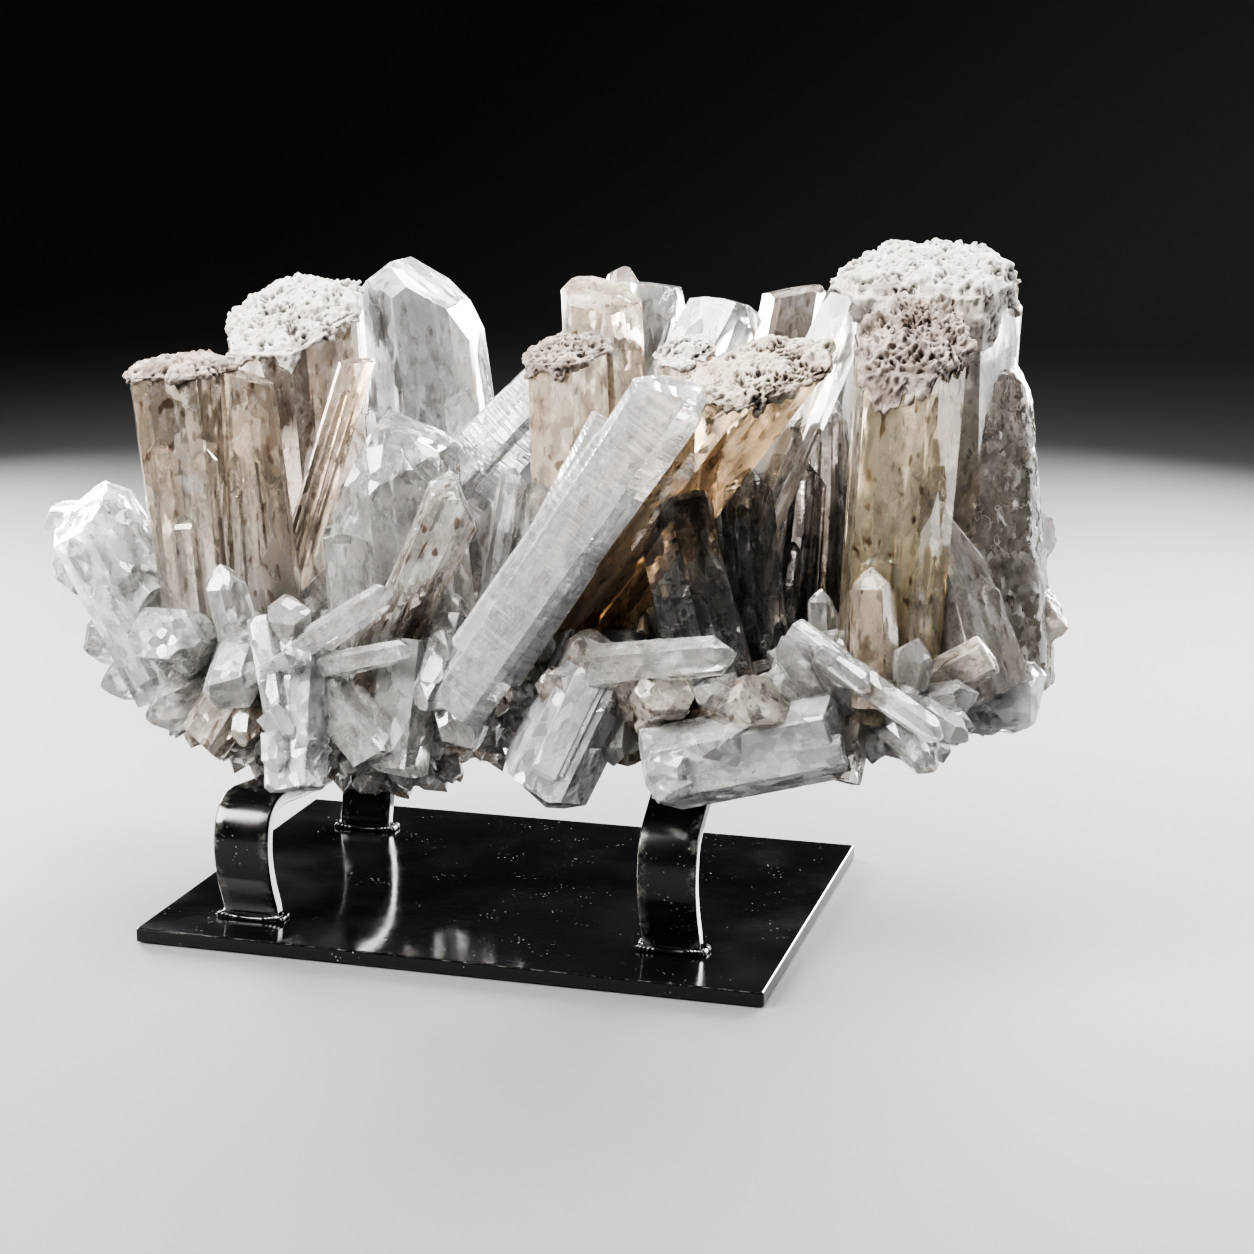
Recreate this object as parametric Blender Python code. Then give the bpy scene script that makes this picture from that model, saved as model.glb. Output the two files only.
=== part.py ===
"""Smoky quartz cluster resting on a welded stand of flat steel bar.

The crystals, the druse and the iron-stained base grew together, so they are one solid.
The porous mineral crusts on the broken tops, the plate, the two straps and the weld
beads are pieces of their own. Sizes are in millimetres, turned into metres by MM.
While it is modelled, the origin is the middle of the plate's top face, +X runs to the
right along the plate and +Y to the back. The finished model is moved so that its
origin is the bottom centre of its bounding box.
"""

import itertools
import math

import bmesh
import bpy
import numpy as np
from mathutils import Matrix, Vector, noise

MM = 0.001
GAP = 0.35  # clearance between pieces that touch

# Stand: quarter-inch steel plate and one-inch flat bar
PLATE_LENGTH, PLATE_DEPTH, PLATE_THICK = 280.0, 200.0, 6.35
PLATE_BEVEL = 0.8
BAR_WIDTH, BAR_THICK, BAR_BEVEL = 25.4, 6.35, 0.6
LEFT_STRAP_X, RIGHT_STRAP_X = -96.5, 92.0
# Centre line of each strap in the YZ plane, from the front foot over the top
LEFT_STRAP_LINE = [
    (-72.8, GAP), (-73, 6), (-78.5, 20), (-80.8, 35), (-77, 48), (-66, 53), (-45, 51),
    (-15, 48), (15, 48), (40, 50), (55, 47), (64, 35), (65.5, 20), (62, 6), (61.8, GAP),
]
RIGHT_STRAP_LINE = [
    (-62.8, GAP), (-63, 6), (-68.5, 20), (-71, 34), (-68, 49), (-58, 58), (-44, 66),
    (-24, 73), (0, 76), (24, 76), (36, 78),
]
WELD_WIDTH, WELD_HEIGHT = 2.4, 2.2

# Base: the mass that the crystals grow from
BASE_LEFT, BASE_RIGHT, BASE_TOP = -134.0, 178.0, 126.0
BASE_LOW_LEFT, BASE_LOW_RIGHT = 50.0, 84.0  # height of the underside left and right
LUMP_STEP, LUMP_HALF_LENGTH, LUMP_FACES = 40.0, 34.0, 18
LUMP_STRETCH = 1.15  # a lump is this much taller than the base, and its planes cut it back
BASE_ROWS = [(-46, 30, 12), (0, 42, 0), (42, 30, 12)]  # y, half depth, raised underside

# Quartz: a pyramid face leans this far from the crystal's axis
PYRAMID_TILT = 51.8
ROOT = 24.0  # how far a crystal runs into the base below its visible foot


def face(tilt, heading, shift=0.0):
    """A face across a crystal's head. tilt is the angle between its normal and the axis,
    heading 0 right, 90 back, 180 left, 270 front, shift moves it out in crystal widths."""
    return (tilt, heading, shift)


# Crystals seen from the front, left to right. Foot is the visible foot's centre, lean
# is to the right and back is to the rear in degrees, then length and width. A crystal
# with no faces listed ends in a pyramid; crust names one that carries a mineral crust.
LARGE_CRYSTALS = {
    "rear_left_chunk": dict(foot=(-192, 25, 114), lean=-34, back=-4, length=64, width=43,
                            faces=[face(26, 20), face(58, 200, 0.34), face(60, 20, 0.38)]),
    "white_broken": dict(foot=(-158, -25, 108), lean=-24, back=-10, length=74, width=40,
                         faces=[face(30, 240), face(60, 0, 0.36)], turn=10),
    "capped_prism": dict(foot=(-132, -35, 118), lean=-5, back=2, length=118, width=46,
                         faces=[face(6, 275)], flat=0.72, taper=-1.5, crust=6.5),
    "prism_twin": dict(foot=(-101, -35, 126), lean=-5, back=3, length=108, width=28,
                       faces=[face(20, 0)], taper=2, turn=15),
    "pitted_crystal": dict(foot=(-100, 15, 105), lean=-3, back=-1, length=150, width=56,
                           faces=[face(27, 262)], turn=20, taper=-1, crust=7),
    "amber_blade": dict(foot=(-99, -15, 140), lean=19, back=0, length=106, width=15,
                        faces=[face(24, 200)], flat=0.7, taper=0),
    "tall_back": dict(foot=(-43, 45, 121), lean=-8, back=5, length=162, width=56, turn=0,
                      faces=[face(38, 185, 0.06), face(42, 350, -0.1), face(64, 355, 0.12),
                             face(50, 270, 0.16), face(58, 90, 0.3), face(60, 190, 0.34)]),
    "clear_apex": dict(foot=(-42, -25, 112), lean=-4, back=0, length=107, width=58, turn=0,
                       faces=[face(29, 355), face(64, 185), face(52, 262, 0.06),
                              face(58, 90, 0.16)]),
    "striated_back": dict(foot=(-38, 5, 170), lean=43, back=10, length=106, width=30,
                          faces=[face(30, 90)], turn=12, root=70),
    "tan_prism": dict(foot=(41, -35, 125), lean=-3, back=5, length=124, width=33, turn=18,
                      faces=[face(20, 262)], taper=0.5, crust=5),
    "upper_crystal": dict(foot=(47, 2, 140), lean=-4, back=5, length=130, width=34,
                          faces=[face(30, 300), face(50, 20, 0.34)], taper=0.5),
    "bright_back": dict(foot=(29, 38, 150), lean=13, back=4, length=125, width=32,
                        faces=[face(12, 190), face(56, 5, 0.18)], turn=30),
    "brown_tip": dict(foot=(15, 55, 150), lean=10, back=2, length=130, width=21),
    "ridged_back": dict(foot=(35, 9, 150), lean=26, back=9, length=129, width=36,
                        faces=[face(20, 150), face(58, 350, 0.34)], turn=10),
    "small_capped": dict(foot=(80, -20, 150), lean=3, back=0, length=99, width=20,
                         faces=[face(24, 250)], taper=0, crust=5),
    "smoky_back": dict(foot=(99, 42, 130), lean=8, back=7, length=143, width=38,
                       faces=[face(20, 200), face(48, 20, 0.14), face(60, 180, 0.38)]),
    "amber_capped": dict(foot=(36, -38, 128), lean=36, back=2, length=143, width=41,
                         faces=[face(46, 222)], turn=20, flat=0.95, taper=0, crust=7),
    "hero": dict(foot=(21, -78, 132), lean=34, back=2, length=133, width=28, turn=24,
                 faces=[face(28, 200), face(58, 0, 0.36)], flat=0.7, taper=-1, root=34),
    "hero_side": dict(foot=(17, -64, 140), lean=28, back=0, length=98, width=13,
                      faces=[face(20, 90)], taper=0.5),
    "spike_left": dict(foot=(8, -50, 134), lean=8, back=5, length=68, width=14),
    "spike_right": dict(foot=(17, -45, 138), lean=11, back=5, length=60, width=17),
    "fibre_bundle": dict(foot=(-35, -62, 124), lean=25, back=4, length=76, width=22,
                         faces=[face(42, 20), face(40, 230, 0.12)], taper=-2),
    "small_behind_apex": dict(foot=(-51, 5, 160), lean=0, back=0, length=53, width=12),
    "milky_stub": dict(foot=(-49, -58, 124), lean=-9, back=3, length=46, width=21,
                       faces=[face(14, 90), face(50, 180, 0.3), face(50, 0, 0.32)]),
    "front_pointing_right": dict(foot=(-65, -73, 126), lean=56, back=-12, length=52,
                                 width=12),
    "low_pointing_right": dict(foot=(-51, -76, 119), lean=73, back=-15, length=40,
                               width=10),
    "front_left_hexagon": dict(foot=(-104, -58, 118), lean=-7, back=-12, length=40,
                               width=18),
    "dark_grey": dict(foot=(107, -48, 110), lean=-16, back=4, length=82, width=33,
                      faces=[face(16, 165)], turn=12, flat=0.8, taper=1),
    "blue_grey": dict(foot=(119, -25, 105), lean=-6, back=3, length=101, width=26,
                      faces=[face(38, 200, 0.02), face(52, 10, 0.06), face(58, 270, 0.2)]),
    "long_clear": dict(foot=(92, -14, 125), lean=22, back=7, length=156, width=25,
                       faces=[face(16, 90)], turn=8, taper=0.5),
    "dark_spike": dict(foot=(128, 0, 118), lean=3, back=7, length=82, width=18),
    "brown_spike": dict(foot=(143, 15, 114), lean=0, back=5, length=114, width=24),
    "amber_column": dict(foot=(177, -45, 110), lean=2, back=6, length=150, width=42,
                         faces=[face(38, 262)], turn=22, taper=-0.5, crust=7),
    "tan_stub": dict(foot=(177, -66, 118), lean=-4, back=8, length=52, width=18),
    "right_back_slab": dict(foot=(181, 20, 118), lean=-1, back=3, length=161, width=74,
                            faces=[face(18, 268)], flat=0.68, taper=0, crust=9),
    "right_back_clear": dict(foot=(193, 34, 130), lean=2, back=4, length=142, width=38,
                             faces=[face(20, 320)], taper=0),
    "rough_dark": dict(foot=(208, 10, 112), lean=0, back=7, length=130, width=50, turn=0,
                       faces=[face(60, 0, 0.18), face(50, 180, 0.2), face(30, 270, 0.1)],
                       taper=7, root=4),
    "rough_dark_knob": dict(foot=(208, 18, 124), lean=52, back=4, length=36, width=34,
                            faces=[face(8, 0), face(45, 90, 0.3), face(48, 250, 0.3)]),
    "clear_wedge": dict(foot=(213, -30, 124), lean=-17, back=0, length=68, width=31,
                        faces=[face(66, 10, 0.10), face(62, 185, 0.12), face(50, 270, 0.2)],
                        taper=7, turn=12, root=9),
}

SMALL_CRYSTALS = {
    "right_chunk": dict(foot=(205, -20, 110), lean=84, back=-9, length=34, width=27,
                        faces=[face(14, 20), face(52, 90, 0.36)]),
    "milky_big": dict(foot=(157, -70, 100), lean=-104, back=-7, length=73, width=33,
                      faces=[face(20, 150), face(48, 300, 0.3), face(48, 60, 0.3),
                             face(46, 200, 0.26)], taper=0, root=8),
    "pendant_mid": dict(foot=(54, -64, 108), lean=-158, back=-18, length=47, width=37,
                        faces=[face(14, 300), face(46, 20, 0.3), face(46, 180, 0.28),
                               face(50, 90, 0.3)], taper=1),
    "pendant_point": dict(foot=(68, -60, 112), lean=178, back=-28, length=33, width=15),
    "pendant_left": dict(foot=(-71, -73, 103), lean=174, back=-24, length=42, width=29,
                         faces=[face(10, 90), face(44, 0, 0.3), face(44, 180, 0.3)]),
    "end_on_left": dict(foot=(-135, -30, 112), lean=9, back=-72, length=50, width=29,
                        faces=[face(6, 0)]),
    "lies_in_front": dict(foot=(84, -78, 129), lean=79, back=-8, length=40, width=15),
    "left_rim_high": dict(foot=(-164, -10, 104), lean=-81, back=-8, length=33, width=26,
                          faces=[face(18, 80), face(52, 200, 0.34)]),
    "left_rim_low": dict(foot=(-163, -20, 97), lean=-108, back=-34, length=28, width=21),
    "left_low": dict(foot=(-122, -48, 96), lean=-113, back=-34, length=33, width=20),
    "low_clear": dict(foot=(-58, -66, 101), lean=128, back=-23, length=38, width=27,
                      faces=[face(20, 0), face(50, 180, 0.3)]),
    "over_pendant": dict(foot=(-81, -80, 114), lean=162, back=-21, length=21, width=12),
    "brown_rim": dict(foot=(-107, -58, 100), lean=-153, back=-27, length=29, width=23,
                      faces=[face(12, 0), face(46, 90, 0.3), face(46, 270, 0.3)]),
    "brown_rim_point": dict(foot=(-98, -66, 97), lean=175, back=-31, length=21, width=12),
    "pitted_front": dict(foot=(-104, -58, 116), lean=160, back=-62, length=27, width=23,
                         faces=[face(8, 0), face(45, 200, 0.32)]),
    "needle": dict(foot=(-92, -78, 110), lean=61, back=-18, length=31, width=7.5),
    "white_rough": dict(foot=(-81, -62, 112), lean=11, back=-20, length=31, width=19,
                        faces=[face(20, 250), face(48, 60, 0.28)]),
    "low_mid_left": dict(foot=(-26, -68, 104), lean=180, back=-20, length=31, width=26,
                         faces=[face(16, 60), face(48, 270, 0.3)]),
    "low_mid_right": dict(foot=(-2, -68, 108), lean=149, back=-34, length=29, width=24),
    "front_facing": dict(foot=(-9, -68, 118), lean=170, back=-56, length=24, width=18),
    "tan_left": dict(foot=(48, -60, 108), lean=25, back=-24, length=31, width=20,
                     faces=[face(14, 0), face(46, 180, 0.3)]),
    "tan_right": dict(foot=(72, -64, 106), lean=11, back=-24, length=26, width=19,
                      faces=[face(14, 200), face(46, 0, 0.3)]),
    "tan_low": dict(foot=(45, -68, 106), lean=-7, back=-32, length=21, width=15),
    "brown_upper": dict(foot=(85, -64, 108), lean=40, back=-55, length=26, width=23,
                        faces=[face(12, 90), face(46, 270, 0.3)]),
    "brown_lower": dict(foot=(87, -64, 97), lean=-2, back=-62, length=19, width=17),
    "brown_beside": dict(foot=(118, -68, 107), lean=55, back=-38, length=26, width=24,
                         faces=[face(15, 120), face(45, 300, 0.3)]),
    "rim_prism_left": dict(foot=(157, -60, 112), lean=-27, back=-30, length=40, width=16),
    "rim_prism_mid": dict(foot=(166, -60, 114), lean=-21, back=-33, length=34, width=14),
    "long_rim_upper": dict(foot=(163, -70, 131), lean=116, back=-19, length=53, width=11),
    "long_rim_lower": dict(foot=(178, -60, 123), lean=114, back=-20, length=45, width=11),
    "white_flat": dict(foot=(163, -76, 133), lean=119, back=-20, length=18, width=8),
    "round_clear": dict(foot=(188, -60, 116), lean=12, back=-20, length=31, width=15),
    "brown_inclusion": dict(foot=(195, -48, 118), lean=55, back=-15, length=33, width=17,
                            faces=[face(20, 90), face(48, 270, 0.3)]),
    "clear_right_upper": dict(foot=(186, -58, 112), lean=73, back=-11, length=34,
                              width=15),
    "clear_right_lower": dict(foot=(188, -60, 112), lean=97, back=-15, length=31,
                              width=13),
    "small_right": dict(foot=(198, -54, 103), lean=94, back=-20, length=16, width=8),
    "down_right": dict(foot=(186, -60, 102), lean=121, back=-31, length=24, width=13),
    "lump_under": dict(foot=(164, -58, 106), lean=-175, back=-25, length=25, width=19,
                       faces=[face(6, 0), face(42, 90, 0.3), face(42, 270, 0.28)]),
    "lump_under_right": dict(foot=(177, -54, 103), lean=-178, back=-40, length=17,
                             width=13),
    "small_white": dict(foot=(148, -30, 126), lean=-2, back=-6, length=28, width=10),
    "star_ray": dict(foot=(130, -73, 107), lean=-55, back=-30, length=31, width=12),
}

# The far side, which the photograph does not show, in the same manner
BACK_CRYSTALS = {
    "back_far_left": dict(foot=(-165, 46, 108), lean=-34, back=24, length=54, width=26),
    "back_left": dict(foot=(-112, 58, 112), lean=-12, back=26, length=88, width=30,
                      faces=[face(26, 60), face(55, 200, 0.3)]),
    "back_left_mid": dict(foot=(-72, 64, 112), lean=10, back=34, length=58, width=20),
    "back_mid": dict(foot=(-8, 58, 112), lean=10, back=26, length=66, width=26),
    "back_mid_right": dict(foot=(52, 58, 116), lean=4, back=20, length=104, width=32,
                           faces=[face(24, 120), face(54, 300, 0.3)]),
    "back_right_mid": dict(foot=(94, 62, 114), lean=18, back=34, length=66, width=20),
    "back_right": dict(foot=(146, 56, 116), lean=-6, back=24, length=98, width=30),
    "back_far_right": dict(foot=(196, 50, 112), lean=26, back=24, length=66, width=26,
                           faces=[face(30, 80), face(50, 250, 0.3)]),
    "back_low_left": dict(foot=(-128, 58, 96), lean=-30, back=62, length=34, width=22),
    "back_low_mid": dict(foot=(-34, 62, 98), lean=-14, back=66, length=32, width=24,
                         faces=[face(12, 0), face(48, 180, 0.3)]),
    "back_low_right": dict(foot=(72, 62, 104), lean=24, back=66, length=32, width=20),
    "back_low_far": dict(foot=(170, 56, 104), lean=34, back=58, length=34, width=22),
    "left_end_low": dict(foot=(-166, 16, 96), lean=-112, back=18, length=22, width=20),
    "right_end_low": dict(foot=(212, 16, 98), lean=112, back=20, length=22, width=22),
}

# Small points round the rim, on an oval between these two turns, and their sizes
RIM_COUNT, RIM_SEED = 18, 7
RIM_HALF_LENGTH, RIM_HALF_DEPTH = 182.0, 66.0
RIM_START, RIM_SWEEP = -24.0, 228.0
RIM_LENGTHS, RIM_WIDTHS, RIM_ROOT = (12, 24), (10, 17), 16

# Knobs under the base, in a wave across its depth
KNOB_COUNT, KNOB_SEED, KNOB_FACES = 18, 11, 11
KNOB_REACH, KNOB_TURN, KNOB_SIZES = 48.0, 2.4, (7, 13)

# How the crusts are divided: spokes around, rings across
CRUST_SPOKES, CRUST_RINGS = 22, 3
CRUST_OVERHANG, CRUST_ROUGHNESS = 0.8, 3.0
CRUST_LUMPS = 0.11  # lumps to a millimetre
CRUST_ABOVE_CUT, ROOM_ABOVE_CUT, ROOM_HEIGHT = 0.45, 0.12, 40.0


def clear_scene():
    for obj in list(bpy.data.objects):
        bpy.data.objects.remove(obj, do_unlink=True)


def material(name, colour, roughness, metallic=0.0, transmission=0.0, ior=1.5):
    made = bpy.data.materials.new(name)
    made.use_nodes = True
    shader = made.node_tree.nodes["Principled BSDF"]
    shader.inputs["Base Color"].default_value = (*colour, 1.0)
    shader.inputs["Roughness"].default_value = roughness
    shader.inputs["Metallic"].default_value = metallic
    shader.inputs["Transmission Weight"].default_value = transmission
    shader.inputs["IOR"].default_value = ior
    made.diffuse_color = (*colour, 1.0)
    return made


def mesh_object(name, points, faces, finish=None):
    """An object from points in millimetres and its faces."""
    mesh = bpy.data.meshes.new(name)
    mesh.from_pydata([tuple(p) for p in np.asarray(points) * MM], [], faces)
    mesh.update()
    obj = bpy.data.objects.new(name, mesh)
    bpy.context.scene.collection.objects.link(obj)
    if finish is not None:
        mesh.materials.append(finish)
    return obj


# Crystals


def direction(lean, back):
    lean, back = math.radians(lean), math.radians(back)
    return np.array([math.cos(back) * math.sin(lean), math.sin(back),
                     math.cos(back) * math.cos(lean)])


def crystal_frame(lean, back):
    """The crystal's axis, and the directions to its right and its back."""
    axis = direction(lean, back)
    helper = np.array([0.0, 1.0, 0.0]) if abs(axis[1]) < 0.8 else np.array([0.0, 0.0, 1.0])
    right = np.cross(helper, axis)
    right /= np.linalg.norm(right)
    return axis, right, np.cross(axis, right)


def slanted(frame, tilt, heading):
    """A unit normal that leans tilt from the axis towards heading."""
    axis, right, rear = frame
    tilt, heading = math.radians(tilt), math.radians(heading)
    side = math.cos(heading) * right + math.sin(heading) * rear
    return math.cos(tilt) * axis + math.sin(tilt) * side


def side_planes(row, frame, seed):
    """The six prism faces, as normals and distances."""
    rng = np.random.default_rng(seed)
    width, flat = row["width"], row.get("flat", 0.85)
    foot, axis = np.array(row["foot"], float), frame[0]
    middle = foot + axis * row["length"] / 2
    normals, distances = [], []
    for k in range(6):
        heading = row.get("turn", 30) + 60 * k
        across = math.hypot(math.cos(math.radians(heading)),
                            flat * math.sin(math.radians(heading)))
        normal = slanted(frame, 90 - row.get("taper", 1.5), heading)
        normals.append(normal)
        distances.append(normal @ middle + width / 2 * across * rng.uniform(0.90, 1.08))
    return normals, distances


def crystal_planes(row, seed):
    """All planes of a crystal: six sides, the root, and its head."""
    frame = crystal_frame(row["lean"], row["back"])
    normals, distances = side_planes(row, frame, seed)
    rng = np.random.default_rng(seed + 1000)
    foot, axis, width = np.array(row["foot"], float), frame[0], row["width"]
    tip = foot + axis * row["length"]
    normals.append(-axis)
    distances.append(-axis @ (foot - axis * row.get("root", ROOT)))
    if "faces" in row:
        head = row["faces"]
    else:
        turn = row.get("turn", 30)
        head = [face(PYRAMID_TILT, turn + 60 * k, rng.uniform(0, 0.06) + 0.10 * (k % 2))
                for k in range(6)]
    for tilt, heading, shift in head:
        normal = slanted(frame, tilt, heading)
        normals.append(normal)
        distances.append(normal @ tip + shift * width)
    return np.array(normals), np.array(distances)


def corners(normals, distances):
    """Corner points of the convex solid that lies behind every plane."""
    triples = np.array(list(itertools.combinations(range(len(normals)), 3)))
    sides = normals[triples]
    crossing = np.abs(np.linalg.det(sides)) > 1e-5
    points = np.linalg.solve(sides[crossing], distances[triples][crossing][..., None])
    points = points[..., 0]
    return points[(points @ normals.T <= distances + 1e-6).all(axis=1)]


def convex_object(name, normals, distances):
    made = mesh_object(name, corners(normals, distances), [])
    bm = bmesh.new()
    bm.from_mesh(made.data)
    bmesh.ops.remove_doubles(bm, verts=bm.verts, dist=0.02 * MM)
    hull = bmesh.ops.convex_hull(bm, input=bm.verts)
    inner = [v for v in set(hull["geom_interior"] + hull["geom_unused"])
             if isinstance(v, bmesh.types.BMVert)]
    bmesh.ops.delete(bm, geom=inner, context="VERTS")
    bmesh.ops.dissolve_limit(bm, angle_limit=math.radians(0.5), verts=bm.verts,
                             edges=bm.edges)
    bmesh.ops.recalc_face_normals(bm, faces=bm.faces)
    bm.to_mesh(made.data)
    bm.free()
    return made


def lump_planes(centre, halves, count, seed, uneven=0.16):
    """Planes that touch an ellipsoid, spread evenly and then unevened by the seed."""
    rng = np.random.default_rng(seed)
    step = np.arange(count) + 0.5
    height = 1 - 2 * step / count
    turn = step * math.pi * (3 - math.sqrt(5)) + rng.uniform(0, math.tau)
    around = np.sqrt(1 - height**2)
    normals = np.stack([around * np.cos(turn), around * np.sin(turn), height], axis=1)
    normals += rng.uniform(-0.14, 0.14, normals.shape)
    normals /= np.linalg.norm(normals, axis=1)[:, None]
    reach = np.linalg.norm(normals * np.array(halves, float), axis=1)
    return normals, normals @ np.array(centre, float) + reach * rng.uniform(
        1 - uneven, 1, count)


# Base


def underside(x):
    """Height of the base's underside: low on the left, stepping up past the middle."""
    share = min(max((x + 40) / 60, 0), 1)
    return BASE_LOW_LEFT + (BASE_LOW_RIGHT - BASE_LOW_LEFT) * share * share * (3 - 2 * share)


def base_lumps():
    made = []
    columns = int(round((BASE_RIGHT - BASE_LEFT) / LUMP_STEP)) + 1
    for (y, half_depth, raised), column in itertools.product(BASE_ROWS, range(columns)):
        x = BASE_LEFT + column * (BASE_RIGHT - BASE_LEFT) / (columns - 1)
        low = underside(x) + raised
        middle, half_height = (BASE_TOP + low) / 2, (BASE_TOP - low) / 2 * LUMP_STRETCH
        seed = 100 + column * 3 + int(y)
        planes = lump_planes((x, y, middle), (LUMP_HALF_LENGTH, half_depth, half_height),
                             LUMP_FACES, abs(seed))
        made.append(convex_object("lump", *planes))
    return made


def rim_crystals():
    """Small points that stand out from the base's ends and far side, evenly in turn
    and with their heights alternating."""
    rng = np.random.default_rng(RIM_SEED)
    made = []
    middle_x, half_x, half_y = (BASE_LEFT + BASE_RIGHT) / 2, RIM_HALF_LENGTH, RIM_HALF_DEPTH
    for k in range(RIM_COUNT):
        turn = math.radians(RIM_START + RIM_SWEEP * (k + 0.5) / RIM_COUNT)
        x, y = middle_x + half_x * math.cos(turn), half_y * math.sin(turn)
        low = underside(x) + 16
        z = low + (BASE_TOP - 4 - low) * (0.25 * (k % 3) + 0.3 * rng.uniform(0, 1))
        rise = (z - (low + BASE_TOP) / 2) / (BASE_TOP - low) * 110
        heading = math.atan2(math.sin(turn) / half_y, math.cos(turn) / half_x)
        out = np.array([math.cos(heading), math.sin(heading)])
        out = out * math.cos(math.radians(rise))
        lean = math.degrees(math.atan2(out[0], math.sin(math.radians(rise))))
        back = math.degrees(math.asin(out[1]))
        row = dict(foot=(x, y, z), lean=lean + rng.uniform(-16, 16),
                   back=back * rng.uniform(0.7, 0.95), length=rng.uniform(*RIM_LENGTHS),
                   width=rng.uniform(*RIM_WIDTHS), turn=rng.uniform(0, 60), root=RIM_ROOT)
        made.append(convex_object("rim", *crystal_planes(row, 300 + k)))
    return made


def underside_knobs():
    """Short blunt knobs that make the stained underside rough."""
    rng = np.random.default_rng(KNOB_SEED)
    made = []
    for k in range(KNOB_COUNT):
        x = BASE_LEFT - 12 + (BASE_RIGHT - BASE_LEFT + 24) * (k + 0.5) / KNOB_COUNT
        y = KNOB_REACH * math.sin(k * KNOB_TURN)
        z = underside(x) + 4 + (y / KNOB_REACH) ** 2 * 12
        size = rng.uniform(*KNOB_SIZES)
        planes = lump_planes((x, y, z), (size, size, size * 0.8), KNOB_FACES, 500 + k, 0.25)
        made.append(convex_object("knob", *planes))
    return made


# Straps


def smooth_line(points, pieces=2):
    """A Catmull-Rom curve through the points, pieces stations to each stretch."""
    p = np.array(points, float)
    p = np.vstack([2 * p[0] - p[1], p, 2 * p[-1] - p[-2]])
    t = np.linspace(0, 1, pieces, endpoint=False)[:, None]
    line = [0.5 * (2 * p[i] + (p[i + 1] - p[i - 1]) * t
                   + (2 * p[i - 1] - 5 * p[i] + 4 * p[i + 1] - p[i + 2]) * t**2
                   + (3 * p[i] - p[i - 1] - 3 * p[i + 1] + p[i + 2]) * t**3)
            for i in range(1, len(p) - 2)]
    return np.vstack(line + [p[-2][None]])


def offset_line(line, distance):
    """The line moved sideways, to its left as it is travelled; its ends stay level."""
    along = np.gradient(line, axis=0)
    along /= np.linalg.norm(along, axis=1)[:, None]
    along[0] = (0, 1)
    if line[-1][1] < 1:
        along[-1] = (0, -1)
    return line + distance * np.stack([-along[:, 1], along[:, 0]], axis=1)


def bar_along(name, line, x, finish):
    """A flat bar bent along a line in the YZ plane, with eased edges."""
    half, thick = BAR_WIDTH / 2, BAR_THICK / 2
    section = [(-half + BAR_BEVEL, thick), (half - BAR_BEVEL, thick),
               (half, thick - BAR_BEVEL), (half, -thick + BAR_BEVEL),
               (half - BAR_BEVEL, -thick), (-half + BAR_BEVEL, -thick),
               (-half, -thick + BAR_BEVEL), (-half, thick - BAR_BEVEL)]
    rings = [np.column_stack([np.full(len(line), x + side), offset_line(line, up)])
             for side, up in section]
    points = np.stack(rings, axis=1).reshape(-1, 3)
    count, around = len(line), len(section)
    faces = [(i * around + j, i * around + (j + 1) % around,
              (i + 1) * around + (j + 1) % around, (i + 1) * around + j)
             for i in range(count - 1) for j in range(around)]
    faces.append(tuple(range(around))[::-1])
    faces.append(tuple((count - 1) * around + j for j in range(around)))
    made = mesh_object(name, points, faces, finish)
    return face_outwards(made)


def face_outwards(obj):
    bm = bmesh.new()
    bm.from_mesh(obj.data)
    bmesh.ops.recalc_face_normals(bm, faces=bm.faces)
    bm.to_mesh(obj.data)
    bm.free()
    return obj


def seat_cutter(line, x):
    """What a strap keeps free: everything below its upper face, and the gap round it."""
    upper = offset_line(line, BAR_THICK / 2 + GAP)
    outline = np.vstack([upper, [(upper[-1][0], -2.0), (upper[0][0], -2.0)]])
    half = BAR_WIDTH / 2 + GAP
    count = len(outline)
    points = np.vstack([np.column_stack([np.full(count, x + side), outline])
                        for side in (-half, half)])
    faces = [tuple(range(count)), tuple(range(count, 2 * count))[::-1]]
    faces += [(i, i + count, (i + 1) % count + count, (i + 1) % count)
              for i in range(count)]
    return face_outwards(mesh_object("seat", points, faces))


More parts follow.
